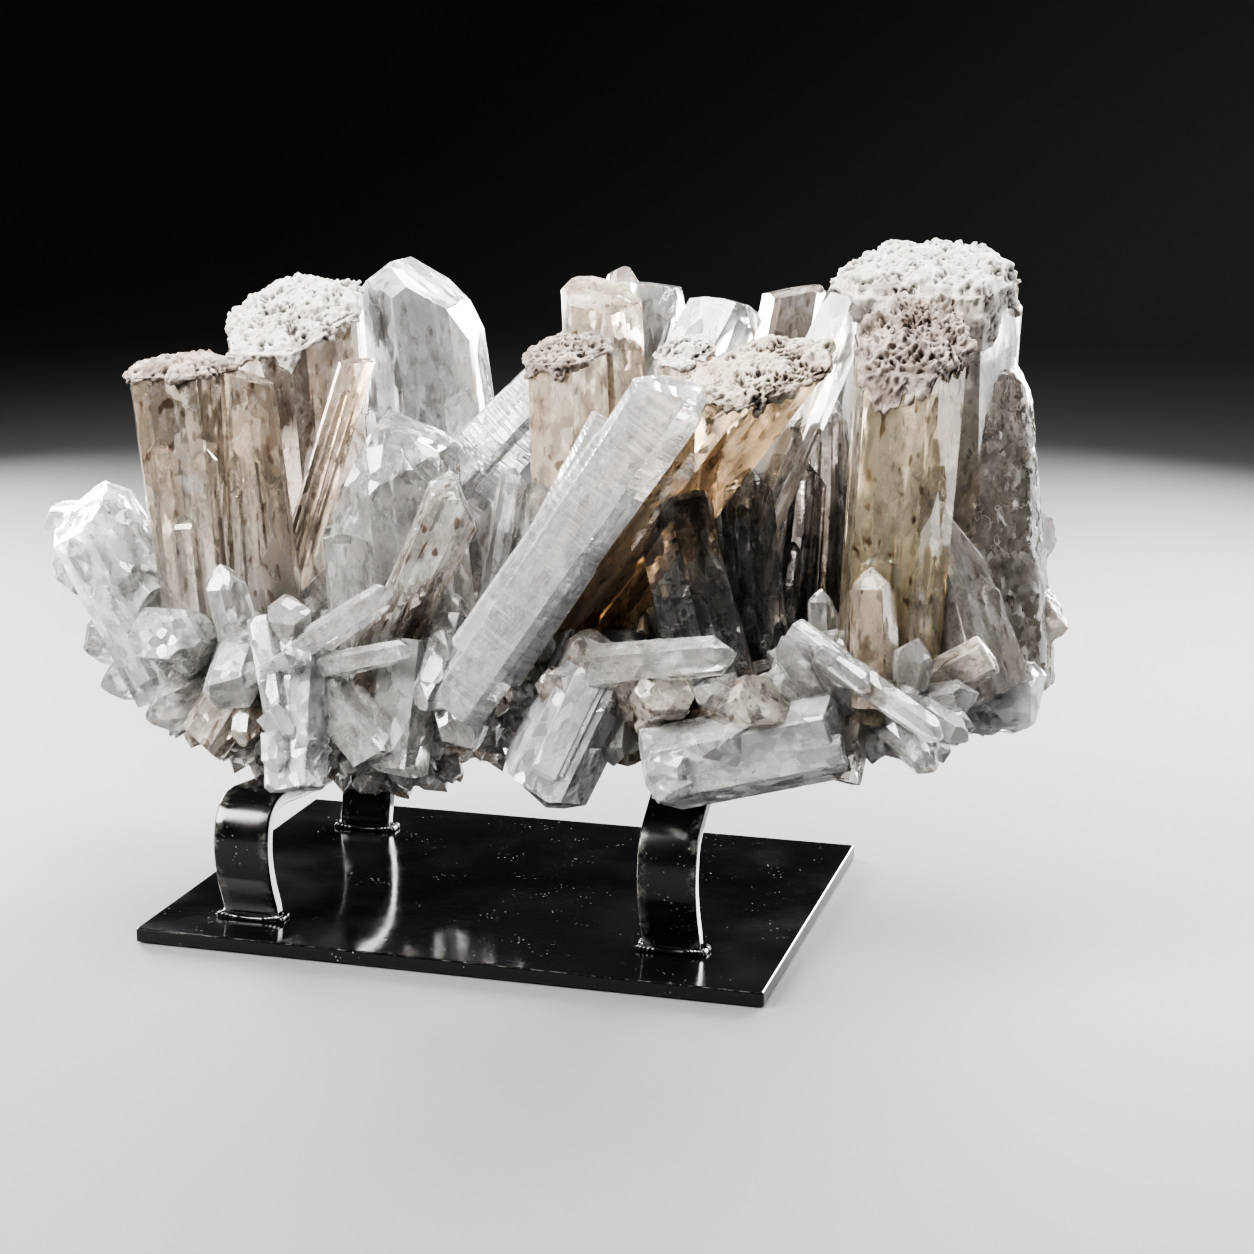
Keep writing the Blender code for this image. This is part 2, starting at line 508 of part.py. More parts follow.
def weld_bead(name, x, y, finish):
    """A welded fillet round a strap's foot, swollen at its corners: a rounded loop of
    triangular section, wider and higher where |x| and |y| are both large."""
    half_x, half_y = BAR_WIDTH / 2 + GAP, BAR_THICK / 2 + 2 * GAP
    corners_ = [(half_x, half_y), (-half_x, half_y), (-half_x, -half_y), (half_x, -half_y)]
    ring, swell = [], []
    for k, (a, b) in enumerate(corners_):
        c, d = corners_[(k + 1) % 4]
        for step in range(5):
            share = step / 5
            ring.append((a + (c - a) * share, b + (d - b) * share))
            swell.append(1.0 + 0.55 * max(0, 1 - min(share, 1 - share) * 4))
    ring, swell = np.array(ring), np.array(swell)
    outward = np.sign(ring) * np.isclose(np.abs(ring), (half_x, half_y))
    outward /= np.linalg.norm(outward, axis=1)[:, None]
    inner_low = np.column_stack([ring, np.full(len(ring), GAP)])
    inner_high = np.column_stack([ring, GAP + WELD_HEIGHT * swell])
    outer_low = np.column_stack([ring + outward * (WELD_WIDTH * swell)[:, None],
                                 np.full(len(ring), GAP)])
    middle = (inner_high + outer_low) / 2 + np.column_stack(
        [outward * 0.3, np.full(len(ring), 0.3)])
    loops = [inner_low, inner_high, middle, outer_low]
    points = np.stack(loops, axis=1).reshape(-1, 3) + (x, y, 0)
    count = len(ring)
    faces = [(i * 4 + j, i * 4 + (j + 1) % 4, (i + 1) % count * 4 + (j + 1) % 4,
              (i + 1) % count * 4 + j) for i in range(count) for j in range(4)]
    return face_outwards(mesh_object(name, points, faces, finish))


def base_plate(finish):
    bm = bmesh.new()
    bmesh.ops.create_cube(bm, size=1.0)
    bmesh.ops.scale(bm, vec=Vector((PLATE_LENGTH, PLATE_DEPTH, PLATE_THICK)) * MM,
                    verts=bm.verts)
    bmesh.ops.translate(bm, vec=(0, 0, -PLATE_THICK / 2 * MM), verts=bm.verts)
    mesh = bpy.data.meshes.new("base_plate")
    bm.to_mesh(mesh)
    bm.free()
    plate = bpy.data.objects.new("base_plate", mesh)
    bpy.context.scene.collection.objects.link(plate)
    mesh.materials.append(finish)
    edge = plate.modifiers.new("eased edges", "BEVEL")
    edge.width = PLATE_BEVEL * MM
    edge.segments = 2
    return plate


# Crusts


def crust(name, row, seed, finish, grow=0.0, lift=0.0, high=None):
    """The porous crust on a crystal's cut top: a disc cut to the crystal's outline in
    polar steps, thick in the middle and lumpy, and thinner towards its edge.
    With grow and high it is a plain cutter that clears the neighbours instead."""
    frame = crystal_frame(row["lean"], row["back"])
    normals, distances = side_planes(row, frame, seed)
    normals, distances = np.array(normals), np.array(distances)
    axis = frame[0]
    tip = np.array(row["foot"], float) + axis * row["length"]
    tilt, heading, _ = row["faces"][0]
    top = slanted(frame, tilt, heading)
    across = np.cross(top, frame[2])
    across /= np.linalg.norm(across)
    along = np.cross(top, across)
    turn = np.arange(CRUST_SPOKES) * math.tau / CRUST_SPOKES
    ray = np.cos(turn)[:, None] * across + np.sin(turn)[:, None] * along
    slope = ray @ normals.T
    room = (distances - normals @ tip) / np.where(slope > 1e-6, slope, np.nan)
    reach = np.nanmin(room, axis=1) + CRUST_OVERHANG + grow
    rows = [tip + lift * axis, tip + lift * axis + ray * reach[:, None]]
    points, faces = [rows[0][None], rows[1]], []
    for ring in range(CRUST_RINGS):
        share = 1 - ring / CRUST_RINGS
        height = row["crust"] * (1 - 0.45 * share**3) if high is None else high
        level = rows[0] + ray * (reach * (share if ring else 0.985))[:, None]
        rough = np.array([noise.noise(Vector(p) * CRUST_LUMPS) for p in level])
        rough = rough * CRUST_ROUGHNESS * (high is None)
        points.append(level + axis * (height + rough)[:, None])
    points.append((rows[0] + axis * (row["crust"] if high is None else high))[None])
    points = np.vstack(points)
    n, last = CRUST_SPOKES, len(points) - 1
    for k in range(n):
        nxt = (k + 1) % n
        faces.append((0, 1 + nxt, 1 + k))
        for ring in range(CRUST_RINGS):
            a, b = 1 + ring * n, 1 + (ring + 1) * n
            faces.append((a + k, a + nxt, b + nxt, b + k))
        faces.append((1 + CRUST_RINGS * n + k, 1 + CRUST_RINGS * n + nxt, last))
    return face_outwards(mesh_object(name, points, faces, finish))


# Joining


def boolean(target, others, operation):
    """Joins the others to the target, or takes them from it, and removes them."""
    group = bpy.data.collections.new("operands")
    bpy.context.scene.collection.children.link(group)
    for other in others:
        group.objects.link(other)
        bpy.context.scene.collection.objects.unlink(other)
    step = target.modifiers.new("join", "BOOLEAN")
    step.operation = operation
    step.operand_type = "COLLECTION"
    step.solver = "EXACT"
    step.collection = group
    graph = bpy.context.evaluated_depsgraph_get()
    mesh = bpy.data.meshes.new_from_object(target.evaluated_get(graph))
    target.modifiers.remove(step)
    target.data = mesh
    for other in others:
        bpy.data.objects.remove(other, do_unlink=True)
    bpy.data.collections.remove(group)
    return target


def keep_largest_body(obj):
    """Removes crumbs that a cut has left loose."""
    bm = bmesh.new()
    bm.from_mesh(obj.data)
    bmesh.ops.remove_doubles(bm, verts=bm.verts, dist=0.01 * MM)
    left, bodies = set(bm.verts), []
    while left:
        front, body = [left.pop()], []
        while front:
            vertex = front.pop()
            body.append(vertex)
            for edge in vertex.link_edges:
                other = edge.other_vert(vertex)
                if other in left:
                    left.remove(other)
                    front.append(other)
        bodies.append(body)
    bodies.sort(key=len)
    for body in bodies[:-1]:
        bmesh.ops.delete(bm, geom=body, context="VERTS")
    bmesh.ops.triangulate(bm, faces=bm.faces)
    bm.to_mesh(obj.data)
    bm.free()
    return obj


def to_bottom_centre(objects):
    """Moves every mesh so that the model's origin is its bounding box's bottom centre."""
    bpy.context.view_layer.update()
    points = np.array([obj.matrix_world @ Vector(corner)
                       for obj in objects for corner in obj.bound_box])
    low, high = points.min(axis=0), points.max(axis=0)
    shift = -np.array([(low[0] + high[0]) / 2, (low[1] + high[1]) / 2, low[2]])
    for obj in objects:
        obj.data.transform(Matrix.Translation(shift))


def main():
    clear_scene()
    quartz = material("smoky_quartz", (0.80, 0.76, 0.70), 0.12, transmission=0.85, ior=1.54)
    pale = material("pale_crust", (0.74, 0.71, 0.67), 0.9)
    steel = material("black_steel", (0.012, 0.012, 0.013), 0.28)

    plate = base_plate(steel)
    left_line, right_line = smooth_line(LEFT_STRAP_LINE), smooth_line(RIGHT_STRAP_LINE)
    pieces = [plate,
              bar_along("left_strap", left_line, LEFT_STRAP_X, steel),
              bar_along("right_strap", right_line, RIGHT_STRAP_X, steel),
              weld_bead("weld_left_front", LEFT_STRAP_X, LEFT_STRAP_LINE[0][0], steel),
              weld_bead("weld_left_rear", LEFT_STRAP_X, LEFT_STRAP_LINE[-1][0], steel),
              weld_bead("weld_right_front", RIGHT_STRAP_X, RIGHT_STRAP_LINE[0][0], steel)]

    rows = list({**LARGE_CRYSTALS, **SMALL_CRYSTALS, **BACK_CRYSTALS}.items())
    crystals = [convex_object(name, *crystal_planes(row, seed))
                for seed, (name, row) in enumerate(rows)]
    grown = crystals + base_lumps() + rim_crystals() + underside_knobs()
    cluster = boolean(grown[0], grown[1:], "UNION")
    cluster.name = cluster.data.name = "quartz_cluster"

    crusted = [(seed, name, row) for seed, (name, row) in enumerate(rows) if "crust" in row]
    cutters = [crust("room", row, seed, None, GAP, ROOM_ABOVE_CUT, ROOM_HEIGHT)
               for seed, name, row in crusted]
    cutters += [seat_cutter(left_line, LEFT_STRAP_X), seat_cutter(right_line, RIGHT_STRAP_X)]
    for cutter in cutters:
        boolean(cluster, [cutter], "DIFFERENCE")
    keep_largest_body(cluster)
    cluster.data.materials.clear()
    cluster.data.materials.append(quartz)
    pieces.append(cluster)
    for seed, name, row in crusted:
        pieces.append(crust("crust_" + name, row, seed, pale, lift=CRUST_ABOVE_CUT))

    to_bottom_centre(pieces)


main()
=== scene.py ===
"""Looks of a smoky quartz cluster on its welded steel stand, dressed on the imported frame.

Crystals are laid out in millimetres from the middle of the plate's top face, +X right
along the plate, +Y to the back and +Z up, and are put into the frame by to_frame.
"""

import itertools
import math

import bpy
import numpy as np
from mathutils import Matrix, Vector


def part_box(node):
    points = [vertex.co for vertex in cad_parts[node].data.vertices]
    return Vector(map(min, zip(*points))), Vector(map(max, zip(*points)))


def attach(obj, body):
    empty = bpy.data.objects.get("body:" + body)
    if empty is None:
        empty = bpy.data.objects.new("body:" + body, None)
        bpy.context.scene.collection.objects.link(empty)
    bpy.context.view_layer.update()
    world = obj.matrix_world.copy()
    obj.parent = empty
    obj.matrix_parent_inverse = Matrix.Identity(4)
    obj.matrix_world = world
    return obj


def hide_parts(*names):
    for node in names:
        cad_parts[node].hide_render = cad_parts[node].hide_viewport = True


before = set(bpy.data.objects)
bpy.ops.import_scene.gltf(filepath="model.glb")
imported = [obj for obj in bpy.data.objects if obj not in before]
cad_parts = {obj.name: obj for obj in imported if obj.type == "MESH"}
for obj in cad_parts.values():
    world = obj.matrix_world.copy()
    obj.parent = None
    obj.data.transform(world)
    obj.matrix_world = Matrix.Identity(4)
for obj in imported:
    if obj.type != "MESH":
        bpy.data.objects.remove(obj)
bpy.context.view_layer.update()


# Camera: a short telephoto lens, a little above the specimen and to its right. Its place is in
# metres from the middle of the plate's top face.

plate_low, plate_high = (np.array(corner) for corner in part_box("base_plate"))
PLATE_TOP = np.array([(plate_low[0] + plate_high[0]) / 2, (plate_low[1] + plate_high[1]) / 2,
                      plate_high[2]])
VIEW_AZIMUTH, VIEW_ELEVATION = math.radians(15.8), math.radians(13.0)
LENS_LENGTH, SENSOR_WIDTH = 70.05, 36.0
CAMERA_PLACE = (0.340, -1.010, 0.367)
lens = bpy.data.cameras.new("camera")
lens.lens, lens.sensor_width = LENS_LENGTH, SENSOR_WIDTH
camera = bpy.data.objects.new("camera", lens)
bpy.context.scene.collection.objects.link(camera)
camera.location = PLATE_TOP + CAMERA_PLACE
towards = Vector((-math.sin(VIEW_AZIMUTH) * math.cos(VIEW_ELEVATION),
                  math.cos(VIEW_AZIMUTH) * math.cos(VIEW_ELEVATION), -math.sin(VIEW_ELEVATION)))
camera.rotation_euler = towards.to_track_quat("-Z", "Y").to_euler()
bpy.context.scene.camera = camera


# Base plate: quarter-inch mild steel, sheared, its edges eased by hand and painted gloss black.
# The paint is brushed on, has settled dust, and is rubbed to bright metal along the arrises.

MM = 0.001
PAINT_BLACK = (0.0045, 0.0045, 0.005, 1)
RUBBED_STEEL = (0.22, 0.215, 0.21, 1)
DUST_PALE = (0.30, 0.29, 0.27, 1)
PLATE_RUB = 0.7 * MM


def put(tree, socket, value):
    """Joins a node's output to a socket, or sets the socket to a plain value."""
    if isinstance(value, bpy.types.NodeSocket):
        tree.links.new(value, socket)
    else:
        socket.default_value = value


def add(tree, kind, inputs=(), **settings):
    """Adds a shader node. inputs pairs a socket's name or number with a value or an output."""
    made = tree.nodes.new("ShaderNode" + kind)
    for key, value in settings.items():
        setattr(made, key, value)
    for key, value in dict(inputs).items():
        put(tree, made.inputs[key], value)
    return made


def math_of(tree, operation, a, b=0.0):
    return add(tree, "Math", {0: a, 1: b}, operation=operation).outputs[0]


def vector_of(tree, operation, a, b=(0, 0, 0)):
    return add(tree, "VectorMath", {0: a, 1: b}, operation=operation).outputs[0]


def mask_of(tree, value, low, high):
    """0 below low, 1 above high, smooth between; low may be the larger to turn it round."""
    made = add(tree, "MapRange", {"Value": value, "From Min": low, "From Max": high},
               interpolation_type="SMOOTHSTEP")
    return made.outputs["Result"]


def blend_of(tree, share, a, b):
    """Colour a where share is 0, colour b where it is 1."""
    made = add(tree, "Mix", {"Factor": share}, data_type="RGBA")
    put(tree, made.inputs[6], a)
    put(tree, made.inputs[7], b)
    return made.outputs[2]


def number_of(tree, share, a, b):
    """Number a where share is 0, number b where it is 1."""
    made = add(tree, "MapRange", {"Value": share, "To Min": a, "To Max": b})
    return made.outputs["Result"]


def noise_of(tree, place, scale, detail=3.0, rough=0.55, twist=0.0):
    made = add(tree, "TexNoise", {"Vector": place, "Scale": scale, "Detail": detail,
                                  "Roughness": rough, "Distortion": twist})
    return made.outputs["Fac"]


def new_group(name, inputs, outputs):
    """An empty shader group: inputs are {name: default}, None for a vector, and outputs are
    numbers but for one named Normal."""
    tree = bpy.data.node_groups.new(name, "ShaderNodeTree")
    for label, default in inputs.items():
        kind = "NodeSocketVector" if default is None else "NodeSocketFloat"
        socket = tree.interface.new_socket(label, in_out="INPUT", socket_type=kind)
        if kind == "NodeSocketFloat":
            socket.default_value = default
    for label in outputs:
        kind = "NodeSocketVector" if label == "Normal" else "NodeSocketFloat"
        tree.interface.new_socket(label, in_out="OUTPUT", socket_type=kind)
    return tree, tree.nodes.new("NodeGroupInput").outputs, tree.nodes.new("NodeGroupOutput").inputs


def use_group(tree, group, **inputs):
    made = tree.nodes.new("ShaderNodeGroup")
    made.node_tree = group
    for label, value in inputs.items():
        put(tree, made.inputs[label], value)
    return made.outputs


def new_material(name):
    """A material, its tree and its Principled shader."""
    made = bpy.data.materials.new(name)
    made.use_nodes = True
    return made, made.node_tree, made.node_tree.nodes["Principled BSDF"]


paint_wear, given, out = new_group("paint wear", {"Place": None, "Arris": 0.0, "Grit": 0.5},
                                   ("Rub", "Dust", "Height", "Gloss"))
patchy = noise_of(paint_wear, given["Place"], 160.0, 4.0, 0.7)
rubbed = math_of(paint_wear, "MULTIPLY", given["Arris"], mask_of(paint_wear, patchy, 0.46, 0.7))
put(paint_wear, out["Rub"], rubbed)
specks = add(paint_wear, "TexVoronoi", {"Vector": given["Place"], "Scale": 420.0}).outputs["Distance"]
lone = mask_of(paint_wear, noise_of(paint_wear, given["Place"], 75.0, 2.0), 0.52, 0.72)
dots = math_of(paint_wear, "MULTIPLY", mask_of(paint_wear, specks, 0.2, 0.12), lone)
put(paint_wear, out["Dust"], math_of(paint_wear, "MULTIPLY", dots, given["Grit"]))
brushed = noise_of(paint_wear, given["Place"], 38.0, 3.0, 0.5, 0.4)
orange_peel = noise_of(paint_wear, given["Place"], 420.0, 2.0)
put(paint_wear, out["Height"], math_of(paint_wear, "ADD", brushed,
                                       math_of(paint_wear, "MULTIPLY", orange_peel, 0.12)))
cloudy = noise_of(paint_wear, given["Place"], 22.0, 5.0)
put(paint_wear, out["Gloss"], mask_of(paint_wear, cloudy, 0.35, 0.7))


def black_paint(name, arris_of, grit, rough_low=0.08, rough_high=0.2):
    """Gloss black paint; arris_of builds the mask of the rubbed edges in the material."""
    made, tree, shader = new_material(name)
    place = add(tree, "TexCoord").outputs["Object"]
    wear = use_group(tree, paint_wear, Place=place, Arris=arris_of(tree, place), Grit=grit)
    colour = blend_of(tree, wear["Rub"], PAINT_BLACK, RUBBED_STEEL)
    put(tree, shader.inputs["Base Color"], blend_of(tree, wear["Dust"], colour, DUST_PALE))
    put(tree, shader.inputs["Metallic"], math_of(tree, "MULTIPLY", wear["Rub"], 0.8))
    put(tree, shader.inputs["Roughness"], number_of(tree, wear["Gloss"], rough_low, rough_high))
    shader.inputs["Specular IOR Level"].default_value = 0.55
    bump = add(tree, "Bump", {"Height": wear["Height"], "Strength": 0.2, "Distance": 0.0004})
    put(tree, shader.inputs["Normal"], bump.outputs["Normal"])
    return made


def plate_arris(tree, place):
    """1 at the plate's top and bottom edges, falling to 0 at PLATE_RUB from them: the distance
    to the nearer side of its box and that to its top or bottom are added."""
    middle = (plate_low + plate_high) / 2
    half = (plate_high - plate_low) / 2
    away = vector_of(tree, "ABSOLUTE", vector_of(tree, "SUBTRACT", place, tuple(middle)))
    parts = add(tree, "SeparateXYZ", {0: vector_of(tree, "SUBTRACT", tuple(half), away)}).outputs
    nearer = math_of(tree, "MINIMUM", parts["X"], parts["Y"])
    corner = math_of(tree, "ADD", nearer, parts["Z"])
    return mask_of(tree, corner, PLATE_RUB, PLATE_RUB * 0.55)


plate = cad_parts["base_plate"]
plate.data.materials.clear()
plate.data.materials.append(black_paint("black paint on the plate", plate_arris, 0.8))


# Straps: one-inch by quarter-inch flat bar, bent hot over a form. The left one is an arch with two
# feet, the right one rises from one foot and curls back under the specimen. Painted with the plate.

BAR_WIDTH, BAR_THICK, BAR_ROUND = 25.4, 6.35, 1.0
BAR_STEPS, CORNER_STEPS, FLAT_STEPS = 12, 6, 6
FOOT_GAP = 0.35
LEFT_STRAP_X, RIGHT_STRAP_X = -96.5, 92.0
LEFT_STRAP_LINE = [
    (-72.8, FOOT_GAP), (-73, 6), (-78.5, 20), (-80.8, 35), (-77, 48), (-66, 53), (-45, 51),
    (-15, 48), (15, 48), (40, 50), (55, 47), (64, 35), (65.5, 20), (62, 6), (61.8, FOOT_GAP),
]
RIGHT_STRAP_LINE = [
    (-62.8, FOOT_GAP), (-63, 6), (-68.5, 20), (-71, 34), (-68, 49), (-58, 58), (-44, 66),
    (-24, 73), (0, 76), (24, 76), (36, 78),
]


def to_frame(points):
    """Millimetres from the middle of the plate's top face, as metres in the frame."""
    return np.asarray(points, float) * MM + PLATE_TOP


def smooth_line(points, pieces):
    """A Catmull-Rom curve: each stretch is the cubic through its two points whose slopes there
    are half the way from the point before to the point after."""
    p = np.array(points, float)
    p = np.vstack([2 * p[0] - p[1], p, 2 * p[-1] - p[-2]])
    t = np.linspace(0, 1, pieces, endpoint=False)[None, :, None]
    a, b, c, d = p[:-3, None], p[1:-2, None], p[2:-1, None], p[3:, None]
    line = 0.5 * (2 * b + (c - a) * t + (2 * a - 5 * b + 4 * c - d) * t**2
                  + (3 * b - a - 3 * c + d) * t**3)
    return np.vstack([line.reshape(-1, p.shape[1]), p[-2][None]])


def bar_section():
    """Half width and half thickness offsets round a flat bar: a rectangle whose four corners
    are quarter circles of BAR_ROUND, and 1 for each point at an arris, 0 on the flats."""
    turn = np.linspace(0, math.pi / 2, CORNER_STEPS)
    corner = np.array([(BAR_WIDTH / 2 - BAR_ROUND, BAR_THICK / 2 - BAR_ROUND)])
    quarter = corner + BAR_ROUND * np.column_stack([np.cos(turn), np.sin(turn)])
    section = np.vstack([quarter, quarter[::-1] * (-1, 1), quarter * (-1, -1),
                         quarter[::-1] * (1, -1)])
    flats = np.linspace(0, 1, FLAT_STEPS + 1)[1:-1, None]
    rows, arris = [], []
    for k in range(4):
        stretch = section[k * CORNER_STEPS:(k + 1) * CORNER_STEPS]
        following = section[(k + 1) * CORNER_STEPS % len(section)]
        rows += [stretch, stretch[-1] * (1 - flats) + following * flats]
        arris += [np.ones(CORNER_STEPS), np.zeros(len(flats))]
    return np.vstack(rows), np.concatenate(arris)


def new_piece(name, points, faces, finish, slot, node, smooth=False, **values):
    """Makes a mesh object in the frame from millimetres, with point attributes, in place of a
    node, and lets it ride on the one body."""
    mesh = bpy.data.meshes.new(name)
    mesh.from_pydata(to_frame(points), [], faces)
    for label, numbers in values.items():
        numbers = np.asarray(numbers, np.float32)
        kind, field = ("FLOAT_VECTOR", "vector") if numbers.ndim == 2 else ("FLOAT", "value")
        layer = mesh.attributes.new(label, kind, "POINT")
        layer.data.foreach_set(field, numbers.ravel())
    mesh.materials.append(finish)
    if smooth:
        mesh.shade_smooth()
    mesh.update()
    piece = bpy.data.objects.new(name, mesh)
    bpy.context.scene.collection.objects.link(piece)
    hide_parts(node)
    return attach(piece, "root")


def grid_faces(rows, columns):
    """Quads of a grid whose columns run round, each corner one step on from the last."""
    row, column = np.meshgrid(np.arange(rows - 1), np.arange(columns), indexing="ij")
    nxt = (column + 1) % columns
    quads = np.stack([row * columns + column, row * columns + nxt,
                      (row + 1) * columns + nxt, (row + 1) * columns + column], axis=-1)
    return quads.reshape(-1, 4)


def bent_bar(name, node, x, line):
    """A flat bar: the bar's section carried along a line in the YZ plane, standing square to
    the line's direction, each end closed by one face."""
    line = smooth_line(line, BAR_STEPS)
    along = np.gradient(line, axis=0)
    along /= np.linalg.norm(along, axis=1)[:, None]
    along[0] = (0, 1)
    if line[-1, 1] < 1:
        along[-1] = (0, -1)
    upward = np.stack([-along[:, 1], along[:, 0]], axis=1)
    section, arris = bar_section()
    across, up = section[:, 0], section[:, 1]
    yz = line[:, None] + up[None, :, None] * upward[:, None]
    points = np.concatenate([np.broadcast_to(x + across, yz.shape[:2])[..., None], yz], axis=2)
    count, around = len(line), len(section)
    faces = grid_faces(count, around)[:, ::-1].tolist()
    faces += [list(range(around)), [(count - 1) * around + k for k in range(around)][::-1]]
    return new_piece(name, points.reshape(-1, 3), faces, strap_paint, "black_steel", node,
                     smooth=True, arris=np.tile(arris, count))


def stored_arris(tree, place):
    """Half of the arris attribute, because the bars' arrises are rubbed less than the plate's."""
    arris = add(tree, "Attribute", attribute_name="arris").outputs["Fac"]
    return math_of(tree, "MULTIPLY", arris, 0.5)


strap_paint = black_paint("black paint on the straps", stored_arris, 0.5, 0.10, 0.26)
bent_bar("left_strap_bar", "left_strap", LEFT_STRAP_X, LEFT_STRAP_LINE)
bent_bar("right_strap_bar", "right_strap", RIGHT_STRAP_X, RIGHT_STRAP_LINE)


# Welds: a stick-welded fillet round each foot, wider at the corners where the bead was stopped and
# started, rippled by its cooling, and painted over with the stand.

BEAD_RADIUS, BEAD_RIPPLE, RIPPLE_LENGTH = 1.9, 0.22, 1.7
BEAD_OUT, BEAD_SQUARE = 1.3, 0.28
BEAD_STEPS, BEAD_SIDES = 240, 16


def weld_bead(name, x, y, seed):
    """A tube carried along a rounded rectangle round the foot, the cosine and sine to the power
    BEAD_SQUARE. Its radius swells at the four corners and rises and falls by BEAD_RIPPLE once in
    every RIPPLE_LENGTH."""
    rng = np.random.default_rng(seed)
    turn = np.linspace(0, math.tau, BEAD_STEPS, endpoint=False)
    half_x, half_y = BAR_WIDTH / 2 + BEAD_OUT, BAR_THICK / 2 + BEAD_OUT
    way = np.column_stack([np.cos(turn), np.sin(turn)])
    loop = (half_x, half_y) * np.sign(way) * np.abs(way) ** BEAD_SQUARE
    step = np.linalg.norm(np.roll(loop, -1, axis=0) - loop, axis=1)
    run = np.concatenate([[0], np.cumsum(step)[:-1]])
    out = loop / np.linalg.norm(loop, axis=1)[:, None]
    corner = np.abs(np.sin(2 * np.arctan2(loop[:, 1] / half_y, loop[:, 0] / half_x)))
    radius = BEAD_RADIUS * (0.72 + 0.42 * corner**6 + 0.16 * np.sin(turn * 3 + rng.uniform(0, 6)))
    radius += BEAD_RIPPLE * np.sin(run * math.tau / RIPPLE_LENGTH)
    around = np.linspace(0, math.tau, BEAD_SIDES, endpoint=False)
    side = radius[:, None] * np.cos(around)
    high = np.maximum(radius[:, None] * 0.85 * np.sin(around) + 0.9, 0.36)
    points = np.concatenate([loop[:, None] + out[:, None] * side[..., None], high[..., None]],
                            axis=2) + (x, y, 0)
    faces = grid_faces(BEAD_STEPS + 1, BEAD_SIDES) % (BEAD_STEPS * BEAD_SIDES)
    return new_piece(name + "_bead", points.reshape(-1, 3), faces.tolist(), weld_paint,
                     "black_steel", name, smooth=True)


def bead_crests(tree, place):
    """The paint is thin on the bead's high spots, so bright metal shows there."""
    height = add(tree, "SeparateXYZ", {0: place}).outputs["Z"]
    low = PLATE_TOP[2] + 1.6 * MM
    return math_of(tree, "MULTIPLY", mask_of(tree, height, low, low + 1.2 * MM), 0.5)


weld_paint = black_paint("black paint on the welds", bead_crests, 0.4, 0.10, 0.22)
weld_bead("weld_left_front", LEFT_STRAP_X, LEFT_STRAP_LINE[0][0], 1)
weld_bead("weld_left_rear", LEFT_STRAP_X, LEFT_STRAP_LINE[-1][0], 2)
weld_bead("weld_right_front", RIGHT_STRAP_X, RIGHT_STRAP_LINE[0][0], 3)


# Rock base: the wall of the pocket that the crystals grew from, brown with iron, rough and
# sparkling with crystals too small to tell apart. It is seen between and under the crystals.

BASE_LEFT, BASE_RIGHT = -160.0, 206.0
BASE_LOW_LEFT, BASE_LOW_RIGHT, BASE_TOP = 51.0, 84.0, 124.0
BASE_HALF_DEPTH, BASE_ROUND, SECTION_POWER = 62.0, 14, 2 / 2.6
BASE_STATIONS, BASE_TURNS = 300, 150
STEP_START, STEP_LENGTH = -40, 60
SEAT_CLEAR, SEAT_LOWEST, SEAT_MARGIN, FAR_BELOW = 1.2, 44, 4, -99.0
IRON_DARK, IRON_TAN = (0.27, 0.20, 0.14, 1), (0.62, 0.54, 0.45, 1)
GROUND_PALE = (0.84, 0.80, 0.76, 1)


def cell_random(cell, seed):
    """A number from 0 to 1 for each whole-number cell, from a hash of its three numbers."""
    mixed = ((cell * (374761393, 668265263, 1274126177)).sum(axis=-1) + seed * 144665) & 0x7FFFFFFF
    mixed = ((mixed ^ (mixed >> 13)) * 1103515245) & 0x7FFFFFFF
    return ((mixed ^ (mixed >> 16)) & 0xFFFF) / 65535


def value_noise(place, seed=0):
    """Smooth noise from -1 to 1: random numbers at the eight corners of the unit cell round each
    point, blended by the cubic 3t^2 - 2t^3 along each axis."""
    cell = np.floor(place).astype(np.int64)
    part = place - cell
    part = part * part * (3 - 2 * part)
    total = 0.0
    for corner in itertools.product((0, 1), repeat=3):
        weight = np.prod(np.where(corner, part, 1 - part), axis=-1)
        total = total + weight * (2 * cell_random(cell + corner, seed) - 1)
    return total


def layered_noise(place, octaves, seed=0):
    """Value noise at doubling frequencies and halving strengths."""
    return sum(value_noise(place * 2.0**k, seed + 17 * k) / 2.0**k for k in range(octaves))


def grid_normals(points):
    """Normals of a grid (row, column, xyz) whose columns run round: the cross product of its two
    central differences."""
    across = np.roll(points, -1, axis=1) - np.roll(points, 1, axis=1)
    normal = np.cross(across, np.gradient(points, axis=0))
    return normal / np.maximum(np.linalg.norm(normal, axis=2), 1e-9)[..., None]


def underside(x):
    """Height of the base's underside: low on the left, a smooth step up past the middle."""
    share = np.clip((x - STEP_START) / STEP_LENGTH, 0, 1)
    return BASE_LOW_LEFT + (BASE_LOW_RIGHT - BASE_LOW_LEFT) * share * share * (3 - 2 * share)


def seat_height(y, line):
    """Height of a strap's upper face at each y, with SEAT_CLEAR over it; FAR_BELOW beyond it."""
    curve = smooth_line(line, BAR_STEPS)
    top = curve[curve[:, 1] > SEAT_LOWEST]
    upper = np.interp(y, top[:, 0], top[:, 1] + BAR_THICK / 2 + SEAT_CLEAR, FAR_BELOW, FAR_BELOW)
    return np.where((y > top[0, 0] - SEAT_MARGIN) & (y < top[-1, 0] + SEAT_MARGIN), upper, FAR_BELOW)


